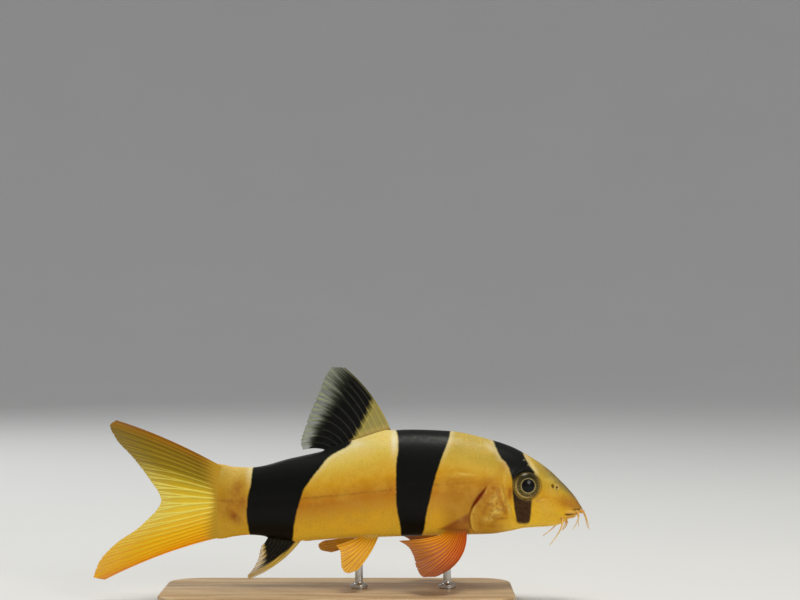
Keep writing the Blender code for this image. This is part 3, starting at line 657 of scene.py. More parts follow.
def skinLook():
    look, tree, shader = newLook("goldSkin", Subsurface_Scale=0.0012, Subsurface_Radius=(1.0, 0.45, 0.2),
                                 Subsurface_Weight=0.15, Coat_Roughness=0.2, Specular_IOR_Level=0.1)
    place = millimetres(tree)
    along = put(tree, "SeparateXYZ", {"Vector": place})
    x, z = along.outputs["X"], along.outputs["Z"]
    grain = useGroup(tree, wetSkin, {"Scale size": 3.2, "Unevenness": 1.0})
    mottle = noise(tree, place, 0.32, 4.0, 0.6)
    fine = noise(tree, place, 2.4, 4.0, 0.65)

    # gold from the belly up to the back, darker along the flank's middle; the bellies' gold is painted brighter, as if
    # lit from below, and the trunk's back paler, as painted light from above
    level = math2(tree, "ADD", mask(tree, "level"), math2(tree, "MULTIPLY", mottle, 0.16))
    level = math2(tree, "SUBTRACT", level, 0.08)
    trunk = ramp(tree, level, [
        (0.0, srgb(250, 206, 62)), (0.2, srgb(238, 184, 42)), (0.42, srgb(198, 126, 26)), (0.62, srgb(218, 162, 32)),
        (0.8, srgb(222, 190, 78)), (0.95, srgb(226, 208, 128)),
    ])
    headGold = ramp(tree, level, [
        (0.0, srgb(250, 204, 52)), (0.2, srgb(244, 192, 36)), (0.5, srgb(218, 160, 22)), (0.78, srgb(206, 166, 44)),
        (0.95, srgb(176, 152, 74)),
    ])
    colour = blend(tree, remap(tree, x, 29.0, 34.0), trunk, headGold)
    # browner between the gill cover and the shoulder band, and over the gill cover
    front = math2(tree, "MULTIPLY", remap(tree, x, 19.0, 23.0), remap(tree, x, 35.5, 31.0))
    front = math2(tree, "MULTIPLY", front, remap(tree, mask(tree, "level"), 0.72, 0.45))
    colour = blend(tree, math2(tree, "MULTIPLY", front, 0.7), colour, srgb(186, 128, 34))
    nape = math2(tree, "MULTIPLY", remap(tree, x, 18.0, 24.0), remap(tree, mask(tree, "level"), 0.58, 0.88))
    colour = blend(tree, math2(tree, "MULTIPLY", nape, 0.75), colour, srgb(176, 146, 46))
    # a darker strip along the top of the snout, and its reddish tip
    ridge = math2(tree, "MULTIPLY", remap(tree, x, 38.5, 44.0), remap(tree, mask(tree, "level"), 0.78, 0.97))
    colour = blend(tree, math2(tree, "MULTIPLY", ridge, 0.85), colour, srgb(98, 90, 62))
    tip = math2(tree, "MULTIPLY", remap(tree, x, 45.4, 48.4), remap(tree, z, 18.4, 19.6))
    colour = blend(tree, math2(tree, "MULTIPLY", tip, 0.75), colour, srgb(98, 62, 38))
    # the tail stalk's own gold
    stalk = remap(tree, x, -17.0, -18.5)
    colour = blend(tree, math2(tree, "MULTIPLY", stalk, 0.6), colour, srgb(208, 160, 38))
    # blood that shows through the skin, and painted highlights of golden sheen on the gill cover, its edge, the cheek's
    # ridges, the flank and the back
    veil = remap(tree, fine, 0.3, 0.6, 0.6, 1.0)
    red = math2(tree, "MULTIPLY", math2(tree, "MAXIMUM", mask(tree, "blush"), mask(tree, "furrow")), veil)
    colour = blend(tree, math2(tree, "MULTIPLY", red, 0.85), colour, srgb(148, 58, 16))
    glint = math2(tree, "MAXIMUM", mask(tree, "gleam"), math2(tree, "MULTIPLY", mask(tree, "flap"), 0.45))
    shine = math2(tree, "MULTIPLY", glint, remap(tree, fine, 0.62, 0.4, 0.55, 1.0))
    colour = blend(tree, math2(tree, "MULTIPLY", shine, 0.9), colour, srgb(246, 214, 106))
    colour = blend(tree, math2(tree, "MULTIPLY", mask(tree, "flesh"), 0.88), colour, srgb(150, 80, 34))
    # the lateral line with its pores, and the edges of the muscles under the skin
    lineAway = math2(tree, "ABSOLUTE", mask(tree, "lineAway"))
    onTrunk = remap(tree, x, 30.0, 28.0)
    thread = math2(tree, "MULTIPLY", remap(tree, lineAway, 0.5, 0.0), remap(tree, fine, 0.36, 0.6, 0.2, 0.8))
    thread = math2(tree, "MULTIPLY", thread, remap(tree, x, 29.0, 12.0, 0.25, 0.7))
    colour = blend(tree, math2(tree, "MULTIPLY", thread, onTrunk), colour, srgb(150, 82, 26))
    poreX = math2(tree, "ABSOLUTE", math2(tree, "SUBTRACT", math2(tree, "FRACT", math2(tree, "MULTIPLY", x, 0.9)), 0.5))
    pore = math2(tree, "MULTIPLY", remap(tree, poreX, 0.16, 0.06), remap(tree, lineAway, 0.15, 0.05))
    pore = math2(tree, "MULTIPLY", pore, onTrunk)
    bow = math2(tree, "MULTIPLY", lineAway, 0.5)
    chevron = math2(tree, "SINE", math2(tree, "MULTIPLY", math2(tree, "ADD", x, bow), 7.0))
    chevron = math2(tree, "MULTIPLY", remap(tree, chevron, 0.1, 1.0), remap(tree, mottle, 0.4, 0.6))
    chevron = math2(tree, "MULTIPLY", chevron, onTrunk)
    chevron = math2(tree, "MULTIPLY", chevron, remap(tree, mask(tree, "level"), 0.75, 0.4))
    colour = blend(tree, math2(tree, "MULTIPLY", chevron, 0.05), colour, srgb(150, 92, 30))
    # a net of brown over the gill cover
    net = math2(tree, "MULTIPLY", remap(tree, noise(tree, place, 1.3, 4.0, 0.65), 0.47, 0.6), mask(tree, "net"))
    colour = blend(tree, math2(tree, "MULTIPLY", net, 0.6), colour, srgb(150, 84, 28))
    colour = blend(tree, math2(tree, "MULTIPLY", mask(tree, "lip"), 0.7), colour, srgb(214, 160, 92))
    # painted shade in the crease across the snout above the upper lip
    colour = blend(tree, math2(tree, "MULTIPLY", mask(tree, "crease"), 0.5), colour, srgb(104, 52, 22))
    # mottling, and tiny dark specks of pigment
    colour = blend(tree, remap(tree, mottle, 0.38, 0.7, 0.0, 0.3), colour, srgb(232, 184, 72))
    colour = blend(tree, remap(tree, fine, 0.48, 0.72, 0.0, 0.2), colour, srgb(158, 100, 28))
    colour = blend(tree, math2(tree, "MULTIPLY", grain.outputs["Speckle"], 0.07), colour, srgb(96, 62, 18))
    # painted glitter of light: pale specks over the back, fainter on the head
    glitter = remap(tree, noise(tree, place, 3.0, 3.0), 0.48, 0.74)
    glitter = math2(tree, "MULTIPLY", glitter, remap(tree, mask(tree, "level"), 0.72, 0.95))
    glitter = math2(tree, "MULTIPLY", glitter, remap(tree, x, 37.0, 28.0, 0.35, 1.0))
    colour = blend(tree, math2(tree, "MULTIPLY", glitter, 0.3), colour, srgb(240, 226, 166))
    # a painted whitish sheen along the bands' edges on the back, and in patches there
    edge = mask(tree, "band")
    edgeSheen = math2(tree, "MULTIPLY", remap(tree, edge, -1.2, -0.1), remap(tree, mask(tree, "level"), 0.62, 0.92))
    pale = math2(tree, "MAXIMUM", math2(tree, "MULTIPLY", edgeSheen, 0.3), math2(tree, "MULTIPLY", mask(tree, "backSheen"), 0.8))
    colour = blend(tree, pale, colour, srgb(236, 228, 198))
    # the black bands, with edges a little ragged
    wander = math2(tree, "SUBTRACT", noise(tree, place, 1.4, 5.0, 0.6), 0.5)
    ragged = math2(tree, "ADD", edge, math2(tree, "MULTIPLY", wander, 0.36))
    black = remap(tree, ragged, -0.18, 0.22)
    # the black is a little lighter and greener towards the back, a painted sheen of the light from above
    ink = ramp(tree, mask(tree, "level"), [(0.2, srgb(9, 8, 4)), (0.75, srgb(13, 14, 10)), (1.0, srgb(20, 22, 18))])
    brown = blend(tree, remap(tree, fine, 0.35, 0.65), srgb(58, 34, 12), srgb(84, 54, 22))
    ink = blend(tree, math2(tree, "MULTIPLY", mask(tree, "brown"), 0.85), ink, brown)
    colour = blend(tree, black, colour, ink)
    # pale pits of the sense organs over the eye's band
    pits = math2(tree, "MULTIPLY", mask(tree, "pit"), 0.7)
    colour = blend(tree, pits, colour, srgb(190, 176, 130))
    # a golden rim round the eye but for its top, and painted shade darkening the hollows
    away = mask(tree, "eyeAway")
    rim = math2(tree, "MULTIPLY", remap(tree, away, 3.15, 2.85), remap(tree, z, 26.2, 24.6))
    rim = math2(tree, "MULTIPLY", rim, remap(tree, fine, 0.3, 0.55, 0.4, 1.0))
    colour = blend(tree, math2(tree, "MULTIPLY", rim, 0.7), colour, srgb(150, 122, 54))
    colour = blend(tree, mask(tree, "slit"), colour, srgb(138, 40, 8))
    colour = blend(tree, math2(tree, "MULTIPLY", mask(tree, "nose"), 0.5), colour, srgb(206, 184, 122))
    # painted shade in the hollows, all but the red gill slit
    hollowShade = math2(tree, "MULTIPLY", mask(tree, "shadeInHollows"), math2(tree, "SUBTRACT", 1.0, mask(tree, "slit"), True))
    colour = blend(tree, math2(tree, "MULTIPLY", hollowShade, 0.85), colour, srgb(44, 24, 10))
    tree.links.new(colour, shader.inputs["Base Color"])
    rough = remap(tree, grain.outputs["Gloss"], 0.0, 1.0, 0.43, 0.35)
    tree.links.new(rough, shader.inputs["Roughness"])
    coat = remap(tree, grain.outputs["Gloss"], 0.0, 1.0, 0.08, 0.13)
    coat = math2(tree, "MULTIPLY", coat, remap(tree, black, 0.0, 1.0, 1.0, 0.45))
    tree.links.new(coat, shader.inputs["Coat Weight"])
    relief = math2(tree, "SUBTRACT", grain.outputs["Height"], math2(tree, "MULTIPLY", pore, 0.8))
    bump(tree, shader, relief, 0.00005, 0.4)
    return look


skin = makeSkin()
print("skin:", len(skin.data.vertices), "points,", sum(len(p.vertices) - 2 for p in skin.data.polygons), "triangles")


# The eyes: a ball with pupil, iris and rings

def eyeLook():
    look, tree, shader = newLook("eyeGlass", Roughness=0.3, Coat_Weight=0.4, Coat_Roughness=0.02, Coat_IOR=1.36,
                                 Specular_IOR_Level=0.1)
    away = mask(tree, "fromAxis")
    flecks = noise(tree, millimetres(tree), 4.5, 4.0, 0.7)
    wobble = math2(tree, "MULTIPLY", math2(tree, "SUBTRACT", flecks, 0.5), 0.1)
    radius = math2(tree, "DIVIDE", math2(tree, "ADD", away, wobble), eye["radius"])
    rings = ramp(tree, radius, [
        (0.0, srgb(3, 3, 3)), (0.486, srgb(4, 4, 3)), (0.502, srgb(186, 170, 120)), (0.535, srgb(160, 138, 84)),
        (0.575, srgb(106, 92, 46)), (0.64, srgb(78, 69, 33)), (0.78, srgb(72, 64, 30)), (0.83, srgb(122, 100, 46)),
        (0.88, srgb(150, 123, 62)), (0.93, srgb(98, 78, 34)), (1.0, srgb(40, 30, 14)),
    ])
    inIris = math2(tree, "MULTIPLY", remap(tree, radius, 0.49, 0.54), remap(tree, radius, 0.98, 0.9))
    # the band passes through the iris at its top, and gold flecks lie at its sides
    high = math2(tree, "ADD", mask(tree, "high"), math2(tree, "MULTIPLY", flecks, 0.5))
    # a painted glow of light: the golden ring brighter towards its lower rear
    glow = math2(tree, "MULTIPLY", remap(tree, radius, 0.76, 0.84), remap(tree, radius, 0.96, 0.9))
    glow = math2(tree, "MULTIPLY", glow, remap(tree, mask(tree, "rear"), 0.1, 0.9))
    rings = blend(tree, math2(tree, "MULTIPLY", glow, 0.7), rings, srgb(236, 206, 124))
    banded = math2(tree, "MULTIPLY", remap(tree, high, 0.45, 1.05), inIris)
    gold = math2(tree, "MULTIPLY", remap(tree, flecks, 0.48, 0.62), inIris)
    gold = math2(tree, "MULTIPLY", gold, remap(tree, high, 0.9, 0.3))
    colour = blend(tree, math2(tree, "MULTIPLY", gold, 0.7), rings, srgb(186, 154, 80))
    grit = noise(tree, millimetres(tree), 9.0, 3.0)
    colour = blend(tree, math2(tree, "MULTIPLY", remap(tree, grit, 0.55, 0.7), inIris), colour, srgb(34, 30, 14))
    colour = blend(tree, math2(tree, "MULTIPLY", banded, 0.8), colour, srgb(22, 22, 12))
    tree.links.new(colour, shader.inputs["Base Color"])
    sheen = math2(tree, "MULTIPLY", inIris, remap(tree, radius, 0.62, 0.7, 0.5, 0.25))
    tree.links.new(sheen, shader.inputs["Metallic"])
    return look


def makeEye(side, name, look):
    facing, forward, up = eyeAxes(side)
    centre = np.array([eye["x"], side * eye["y"], eye["z"]])
    rings, segments = 72, 96
    tilt = (np.arange(1, rings) / rings) * math.pi
    turn = np.arange(segments) / segments * 2 * math.pi
    outFrom = np.sin(tilt)[:, None] * np.ones(segments)
    unitX, unitY = outFrom * np.cos(turn), outFrom * np.sin(turn)
    unitZ = np.cos(tilt)[:, None] * np.ones(segments)
    # the clear front stands a little prouder over the pupil
    dome = 0.12 * hill(outFrom, 0.5) * (unitZ > 0)
    deep = unitZ * eye["halfDepth"] + dome
    points = centre + (unitX[..., None] * forward + unitY[..., None] * up) * eye["radius"] + deep[..., None] * facing
    pole = centre + facing * (eye["halfDepth"] + 0.12)
    back = centre - facing * eye["halfDepth"]
    allPoints = np.concatenate([[pole], points.reshape(-1, 3), [back]])
    faces = [(0, 1 + k, 1 + (k + 1) % segments) for k in range(segments)]
    for i in range(rings - 2):
        here, there = 1 + i * segments, 1 + (i + 1) * segments
        faces += [(here + k, there + k, there + (k + 1) % segments, here + (k + 1) % segments) for k in range(segments)]
    last = 1 + (rings - 2) * segments
    faces += [(len(allPoints) - 1, last + (k + 1) % segments, last + k) for k in range(segments)]
    fromAxis = np.concatenate([[0.0], (outFrom * eye["radius"]).ravel(), [eye["radius"]]])
    masks = {"fromAxis": fromAxis, "high": np.concatenate([[0.0], unitY.ravel(), [0.0]]),
             "rear": np.concatenate([[0.0], (-0.7 * unitX - 0.7 * unitY).ravel(), [0.0]])}
    return newPiece("eye" + name, allPoints, faces, look, ("eye_" + name.lower(),), masks)


eyeSurface = eyeLook()
for side, name in ((-1, "Right"), (1, "Left")):
    makeEye(side, name, eyeSurface)
print("eyes")


# The fins: thin sheets with raised, branching rays

def makeRayGroup():
    # the joints across each ray, and how light and solid a ray is against its membrane
    group, given, out = newGroup("finRay", {"Ray": 0.0, "Out": 0.0, "Joints": 46.0}, ("Height", "Line"))
    wave = math2(group, "SINE", math2(group, "MULTIPLY", given.outputs["Out"],
                                      math2(group, "MULTIPLY", given.outputs["Joints"], 2 * math.pi)))
    joint = math2(group, "MULTIPLY", remap(group, wave, 0.3, 1.0), given.outputs["Ray"])
    height = math2(group, "SUBTRACT", given.outputs["Ray"], math2(group, "MULTIPLY", joint, 0.3))
    group.links.new(height, out.inputs["Height"])
    line = remap(group, given.outputs["Ray"], 0.25, 0.85)
    group.links.new(math2(group, "SUBTRACT", line, math2(group, "MULTIPLY", joint, 0.14), True), out.inputs["Line"])
    return group


finRay = makeRayGroup()


def pathThrough(points):
    spots = np.linspace(0, 1, len(points))
    curves = [smoothCurve([(spot, p[axis]) for spot, p in zip(spots, points)]) for axis in range(3)]
    return lambda share: np.stack([curve(share) for curve in curves], -1)


def finSheet(plan):
    start, pull, end = (pathThrough(plan[part]) for part in ("root", "bow", "edge"))
    rays, rows = plan["rays"], plan["rows"]
    columns = (rays - 1) * plan["finer"] + 1
    random = np.random.default_rng(plan["seed"])
    shift = random.uniform(-0.07, 0.07, rays)
    forks = plan["fork"] + random.uniform(-0.06, 0.06, rays)
    lengths = random.uniform(0.0, 1.0, rays)
    shift[0] = shift[-1] = 0

    def onFin(share, out):
        share, out = np.clip(share, 0, 1), out[..., None]
        return start(share) * (1 - out) ** 2 + pull(share) * 2 * out * (1 - out) + end(share) * out * out

    def rayLines(share, out):
        # how far each point is from the nearest branch of a ray, in gaps between rays
        gap = share * (rays - 1)
        nearest = np.clip(np.round(gap), 0, rays - 1).astype(int)
        off = gap - nearest - shift[nearest]
        whole = (nearest == 0) | (nearest == rays - 1)
        first = np.where(whole, 0.0, 0.24 * ease(out, forks[nearest], 1.06))
        second = np.where(whole, 0.0, 0.11 * ease(out, forks[nearest] + 0.3, 1.1))
        return np.abs(np.abs(np.abs(off) - first) - second)

    share = np.linspace(0, 1, columns)[:, None] * np.ones(rows + 1)
    marginRay = hill(rayLines(share, np.ones_like(share)), 0.13)
    longer = np.interp(share * (rays - 1), np.arange(rays), lengths)
    besideEdge = 1 - hill(np.minimum(share, 1 - share) * (rays - 1), 1.0)
    limit = 1 - plan["notch"] * (1 - marginRay) * besideEdge - 0.006 * longer * besideEdge
    across = np.linspace(0, 1, rows + 1)[None, :] * np.ones((columns, 1))
    out = -plan["sunk"] + across * (limit + plan["sunk"])
    step = 0.004
    lengthwise = onFin(share, out + step) - onFin(share, out - step)
    sideways = onFin(share + step, out) - onFin(share - step, out)
    atEdge = (share < step) | (share > 1 - step)
    spacing = np.linalg.norm(sideways, axis=-1) / (np.where(atEdge, step, 2 * step) * (rays - 1))
    facing = np.cross(lengthwise, sideways)
    facing /= np.maximum(np.linalg.norm(facing, axis=-1, keepdims=True), 1e-9)
    away = rayLines(share, np.maximum(out, 0))
    thin = plan["rayWidth"] * (1 - 0.45 * ease(out, 0.3, 1.0))
    ray = hill(away, np.clip(thin / np.maximum(spacing, 0.05), 0.07, 0.27))
    fromEdge = np.minimum(share, 1 - share + (0.0 if plan["bothEdges"] else 1.0)) * (rays - 1)
    ray = np.maximum(ray, hill(fromEdge, 0.35) * plan["stoutEdge"]) * ease(out, -0.01, plan["rayStart"])
    taper = 1 - 0.6 * np.clip(out, 0, 1) ** 2
    thick = (plan["web"] + (plan["ray"] - plan["web"]) * ray) * taper + plan["rootSwell"] * hill(out, 0.07)
    thick *= np.where(across > 0.995, 0.45, 1.0)
    wave = plan["wave"] * np.sin(share * 7.0 + plan["seed"]) * ease(out, 0.1, 1.0)
    middle = onFin(share, out) + facing * wave[..., None]
    points = np.concatenate([(middle + facing * thick[..., None] * way).reshape(-1, 3) for way in (1, -1)])
    high = rows + 1
    front = columns * high
    faces = []
    for c in range(columns - 1):
        for r in range(rows):
            a, b = c * high + r, (c + 1) * high + r
            faces.append((a, b, b + 1, a + 1))
            faces.append((front + a, front + a + 1, front + b + 1, front + b))
    rim = [c * high for c in range(columns)] + [(columns - 1) * high + r for r in range(1, high)]
    rim += [c * high + rows for c in reversed(range(columns - 1))] + list(reversed(range(1, rows)))
    faces += [(there, here, front + here, front + there) for here, there in zip(rim, rim[1:] + rim[:1])]
    both = lambda values: np.concatenate([values.ravel(), values.ravel()])
    masks = {"ray": both(ray), "out": both(out), "share": both(share)}
    places = both(middle[..., 0]), both(middle[..., 2])
    return points, faces, masks, places


def makeFin(name, plan, look, replaced):
    points, faces, masks, (x, z) = finSheet(plan)
    if "mark" in plan:
        masks["mark"] = plan["mark"](x, z, masks["share"], masks["out"])
    return newPiece(name, points, faces, look, replaced, masks, sharp=70)


def finLook(name, colour, opacity, joints=46.0, rough=0.38):
    # colour and opacity are functions that build the nodes for a fin's own pattern
    look, tree, shader = newLook(name, Coat_Weight=0.04, Coat_Roughness=0.15, Specular_IOR_Level=0.12)
    ray, out, share = mask(tree, "ray"), mask(tree, "out"), mask(tree, "share")
    rays = useGroup(tree, finRay, {"Ray": ray, "Out": out, "Joints": joints})
    grain = useGroup(tree, wetSkin, {"Scale size": 5.0, "Unevenness": 0.6})
    line = rays.outputs["Line"]
    tree.links.new(colour(tree, line, out, share, grain.outputs["Speckle"]), shader.inputs["Base Color"])
    tree.links.new(opacity(tree, line, out, share), shader.inputs["Alpha"])
    tree.links.new(remap(tree, grain.outputs["Gloss"], 0.0, 1.0, rough + 0.08, rough - 0.06), shader.inputs["Roughness"])
    height = math2(tree, "ADD", rays.outputs["Height"], math2(tree, "MULTIPLY", grain.outputs["Height"], 0.35))
    bump(tree, shader, height, 0.00005, 0.7)
    return look


def onBack(x):
    return x, 0.0, float(backHeight(x))


def onBelly(x):
    return x, 0.0, float(bellyHeight(x))


# The dorsal fin: black, clear at its rear margin, with a yellow corner in front
dorsalCorner = smoothCurve([(31.0, 1.6), (32.6, 3.0), (35.0, 4.4), (37.0, 5.4), (39.0, 6.4), (40.6, 7.0), (43.0, 8.6)])
dorsalClear = smoothCurve([(30.0, -6.4), (32.8, -5.2), (37.0, -3.9), (42.6, -1.0), (45.0, 1.4), (47.5, 3.2)])
dorsalPlan = {
    "root": [onBack(10.6), onBack(4.2), onBack(-2.4)],
    "bow": [(7.6, 0, 42.0), (4.4, 0, 41.6), (1.2, 0, 39.0), (-1.6, 0, 35.4), (-4.4, 0, 31.3)],
    "edge": [(1.4, 0, 47.1), (-1.0, 0, 47.3), (-2.5, 0, 45.6), (-3.9, 0, 42.2), (-5.4, 0, 38.6), (-6.7, 0, 35.0),
             (-7.5, 0, 32.2), (-7.0, 0, 30.6)],
    "rays": 12, "finer": 16, "rows": 64, "seed": 3, "fork": 0.42, "notch": 0.03, "sunk": 0.05, "bothEdges": False,
    "rayStart": 0.04, "web": 0.07, "ray": 0.15, "rayWidth": 0.12, "rootSwell": 0.2, "wave": 0.1, "stoutEdge": 0.9,
    "mark": lambda x, z, share, out: dorsalCorner(z) - x,
}


def dorsalColour(tree, line, out, share, speckle):
    z = put(tree, "SeparateXYZ", {"Vector": millimetres(tree)}).outputs["Z"]
    streaks = math2(tree, "MULTIPLY", math2(tree, "SUBTRACT", noise(tree, millimetres(tree), 0.8, 3.0), 0.5), 1.2)
    edge = math2(tree, "ADD", mask(tree, "mark"), math2(tree, "MULTIPLY", line, -0.5))
    edge = math2(tree, "ADD", edge, streaks)
    black = remap(tree, edge, -0.9, 0.75)
    corner = blend(tree, line, srgb(172, 158, 82), srgb(196, 174, 84))
    corner = blend(tree, remap(tree, out, 0.12, 0.0), corner, srgb(216, 190, 92))
    dark = blend(tree, remap(tree, line, 0.45, 1.0, 0.0, 0.4), srgb(5, 5, 3), srgb(58, 58, 42))
    colour = blend(tree, black, corner, dark)
    clear = dorsalFade(tree, line, out, share)
    smoky = blend(tree, line, srgb(104, 110, 84), srgb(164, 170, 136))
    colour = blend(tree, clear, colour, smoky)
    # an olive leading edge with a thin light line, and a red-brown tinge where the black meets the back
    front = math2(tree, "MULTIPLY", remap(tree, share, 0.05, 0.0), remap(tree, z, 38.0, 42.0))
    colour = blend(tree, math2(tree, "MULTIPLY", front, 0.7), colour, srgb(118, 112, 66))
    root = math2(tree, "MULTIPLY", remap(tree, out, 0.07, 0.0), remap(tree, edge, 1.4, 0.2))
    return blend(tree, math2(tree, "MULTIPLY", root, 0.8), colour, srgb(120, 72, 24))


def rayStreaks(tree, out, share, count):
    # uneven streaks that run along the rays
    where = put(tree, "CombineXYZ", {"X": math2(tree, "MULTIPLY", share, count), "Y": math2(tree, "MULTIPLY", out, 1.6)})
    return math2(tree, "SUBTRACT", noise(tree, where.outputs[0], 1.0, 2.0), 0.5)


def dorsalFade(tree, line, out, share):
    # how clear the fin has become towards its rear margin
    streaks = math2(tree, "MULTIPLY", rayStreaks(tree, out, share, 34.0), 0.34)
    begins = math2(tree, "ADD", remap(tree, share, 0.05, 0.4, 0.78, 0.6), streaks)
    beyond = math2(tree, "SUBTRACT", math2(tree, "SUBTRACT", out, begins), math2(tree, "MULTIPLY", line, 0.05))
    return remap(tree, beyond, 0.0, 0.3)


def dorsalOpacity(tree, line, out, share):
    membrane = remap(tree, dorsalFade(tree, line, out, share), 0.0, 1.0, 0.97, 0.34)
    corner = remap(tree, mask(tree, "mark"), -0.3, -1.4)
    membrane = math2(tree, "MULTIPLY", membrane, remap(tree, corner, 0.0, 1.0, 1.0, 0.78))
    return math2(tree, "MAXIMUM", membrane, remap(tree, line, 0.2, 1.0, 0.0, 0.86))


makeFin("dorsalFin", dorsalPlan, finLook("dorsalFinLook", dorsalColour, dorsalOpacity), ("dorsal_fin",))

# The anal fin: a black middle between a yellow front strip and a clear tip
analPlan = {
    "root": [onBelly(-7.4), onBelly(-10.8), onBelly(-14.0)],
    "bow": [(-11.3, 0, 7.3), (-12.8, 0, 8.6), (-14.6, 0, 11.8)],
    "edge": [(-17.8, 0, 4.7), (-18.2, 0, 5.3), (-17.2, 0, 6.6), (-16.0, 0, 8.8), (-15.4, 0, 11.4)],
    "rays": 9, "finer": 16, "rows": 48, "seed": 5, "fork": 0.45, "notch": 0.03, "sunk": 0.06, "bothEdges": False,
    "rayStart": 0.04, "web": 0.06, "ray": 0.15, "rayWidth": 0.17, "rootSwell": 0.18, "wave": 0.08, "stoutEdge": 0.9,
}


def analColour(tree, line, out, share, speckle):
    frontEdge = remap(tree, out, 0.0, 0.7, 0.1, 0.3)
    inside = math2(tree, "SUBTRACT", share, frontEdge)
    inside = math2(tree, "SUBTRACT", inside, math2(tree, "MULTIPLY", line, 0.04))
    tipEnd = math2(tree, "ADD", math2(tree, "MULTIPLY", line, 0.1), remap(tree, share, 0.3, 1.0, 0.74, 0.62))
    tipEnd = math2(tree, "ADD", tipEnd, math2(tree, "MULTIPLY", rayStreaks(tree, out, share, 22.0), 0.5))
    black = math2(tree, "MULTIPLY", remap(tree, inside, -0.03, 0.05),
                  remap(tree, math2(tree, "SUBTRACT", out, tipEnd), 0.05, -0.08))
    dark = blend(tree, math2(tree, "MULTIPLY", line, 0.35), srgb(10, 9, 5), srgb(66, 56, 26))
    gold = blend(tree, line, srgb(236, 206, 104), srgb(200, 160, 60))
    return blend(tree, black, gold, dark)


def analOpacity(tree, line, out, share):
    membrane = remap(tree, out, 0.55, 0.95, 0.95, 0.28)
    return math2(tree, "MAXIMUM", membrane, remap(tree, line, 0.2, 1.0, 0.0, 0.8))


makeFin("analFin", analPlan, finLook("analFinLook", analColour, analOpacity), ("anal_fin",))

# The tail fin: amber above, yellow in the middle and orange below
tailPlan = {
    "root": [(-23.9, 0, 27.6), (-23.9, 0, 24.2), (-23.9, 0, 20.4), (-23.9, 0, 16.4), (-23.9, 0, 13.0)],
    "bow": [(-34.4, 0, 33.4), (-33.4, 0, 28.6), (-29.8, 0, 20.4), (-33.6, 0, 13.2), (-35.4, 0, 10.3)],
    "edge": [(-44.6, 0, 36.5), (-46.0, 0, 35.4), (-44.6, 0, 32.6), (-41.2, 0, 28.9), (-38.0, 0, 24.7), (-35.6, 0, 20.4),
             (-39.8, 0, 15.2), (-44.6, 0, 11.8), (-48.1, 0, 8.0), (-49.3, 0, 4.9), (-46.9, 0, 4.4)],
    "rays": 22, "finer": 16, "rows": 84, "seed": 8, "fork": 0.27, "notch": 0.012, "sunk": 0.08, "bothEdges": True,
    "rayStart": 0.14, "web": 0.08, "ray": 0.15, "rayWidth": 0.2, "rootSwell": 0.25, "wave": 0.12, "stoutEdge": 0.8,
}


def tailColour(tree, line, out, share, speckle):
    between = ramp(tree, share, [
        (0.0, srgb(160, 102, 12)), (0.12, srgb(136, 106, 14)), (0.3, srgb(148, 122, 18)), (0.42, srgb(226, 190, 44)),
        (0.54, srgb(255, 218, 66)), (0.75, srgb(255, 188, 14)), (0.92, srgb(255, 172, 6)), (1.0, srgb(246, 146, 4)),
    ])
    rayColour = ramp(tree, share, [
        (0.0, srgb(176, 116, 18)), (0.12, srgb(156, 124, 24)), (0.3, srgb(178, 150, 34)), (0.42, srgb(255, 238, 110)),
        (0.56, srgb(255, 240, 116)), (0.75, srgb(255, 212, 36)), (0.92, srgb(255, 188, 14)), (1.0, srgb(250, 156, 8)),
    ])
    colour = blend(tree, remap(tree, line, 0.1, 0.7), between, rayColour)
    root = math2(tree, "ADD", out, math2(tree, "MULTIPLY", line, 0.06))
    colour = blend(tree, remap(tree, root, 0.22, 0.02), colour, srgb(206, 160, 46))
    return blend(tree, math2(tree, "MULTIPLY", speckle, 0.18), colour, srgb(96, 70, 20))


def tailOpacity(tree, line, out, share):
    membrane = remap(tree, out, 0.55, 1.0, 0.98, 0.74)
    return math2(tree, "MAXIMUM", membrane, remap(tree, line, 0.2, 1.0, 0.0, 0.94))


makeFin("tailFin", tailPlan, finLook("tailFinLook", tailColour, tailOpacity, joints=60.0),
        ("caudal_fin_upper", "caudal_fin_lower"))
print("middle fins")


# The paired fins: points are (along, out to the side, height)
pectoralPlan = {
    "bow": [(25.9, 9.2, 10.4), (23.2, 8.8, 11.0), (19.4, 6.6, 13.3)],
    "edge": [(21.6, 12.6, 7.8), (19.0, 13.4, 6.8), (16.8, 13.0, 6.8), (15.6, 11.6, 8.4), (14.9, 9.8, 10.7),
             (13.8, 8.4, 12.2), (12.2, 6.8, 13.1)],
    "rays": 14, "finer": 14, "rows": 56, "seed": 11, "fork": 0.4, "notch": 0.015, "sunk": 0.05, "bothEdges": False,
    "rayStart": 0.04, "web": 0.07, "ray": 0.135, "rayWidth": 0.15, "rootSwell": 0.22, "wave": 0.1, "stoutEdge": 1.0,
}
pelvicRightPlan = {
    "bow": [(7.0, 5.6, 10.6), (4.7, 5.5, 10.9), (3.0, 3.9, 12.8)],
    "edge": [(4.0, 8.6, 7.6), (2.0, 9.0, 7.0), (0.9, 8.3, 8.0), (0.7, 7.4, 9.6), (0.6, 6.3, 11.0), (-0.2, 5.0, 12.1)],
    "rays": 8, "finer": 16, "rows": 48, "seed": 14, "fork": 0.42, "notch": 0.02, "sunk": 0.07, "bothEdges": False,
    "rayStart": 0.04, "web": 0.065, "ray": 0.13, "rayWidth": 0.15, "rootSwell": 0.2, "wave": 0.08, "stoutEdge": 1.0,
}
pelvicLeftPlan = dict(
    pelvicRightPlan,
    bow=[(4.6, 5.8, 11.2), (3.0, 5.0, 11.9), (2.6, 4.0, 12.7)],
    edge=[(-1.6, 8.0, 9.2), (-3.8, 7.7, 9.8), (-4.3, 6.8, 10.8), (-3.2, 5.8, 11.7), (-1.6, 4.6, 12.1)],
    seed=15,
)


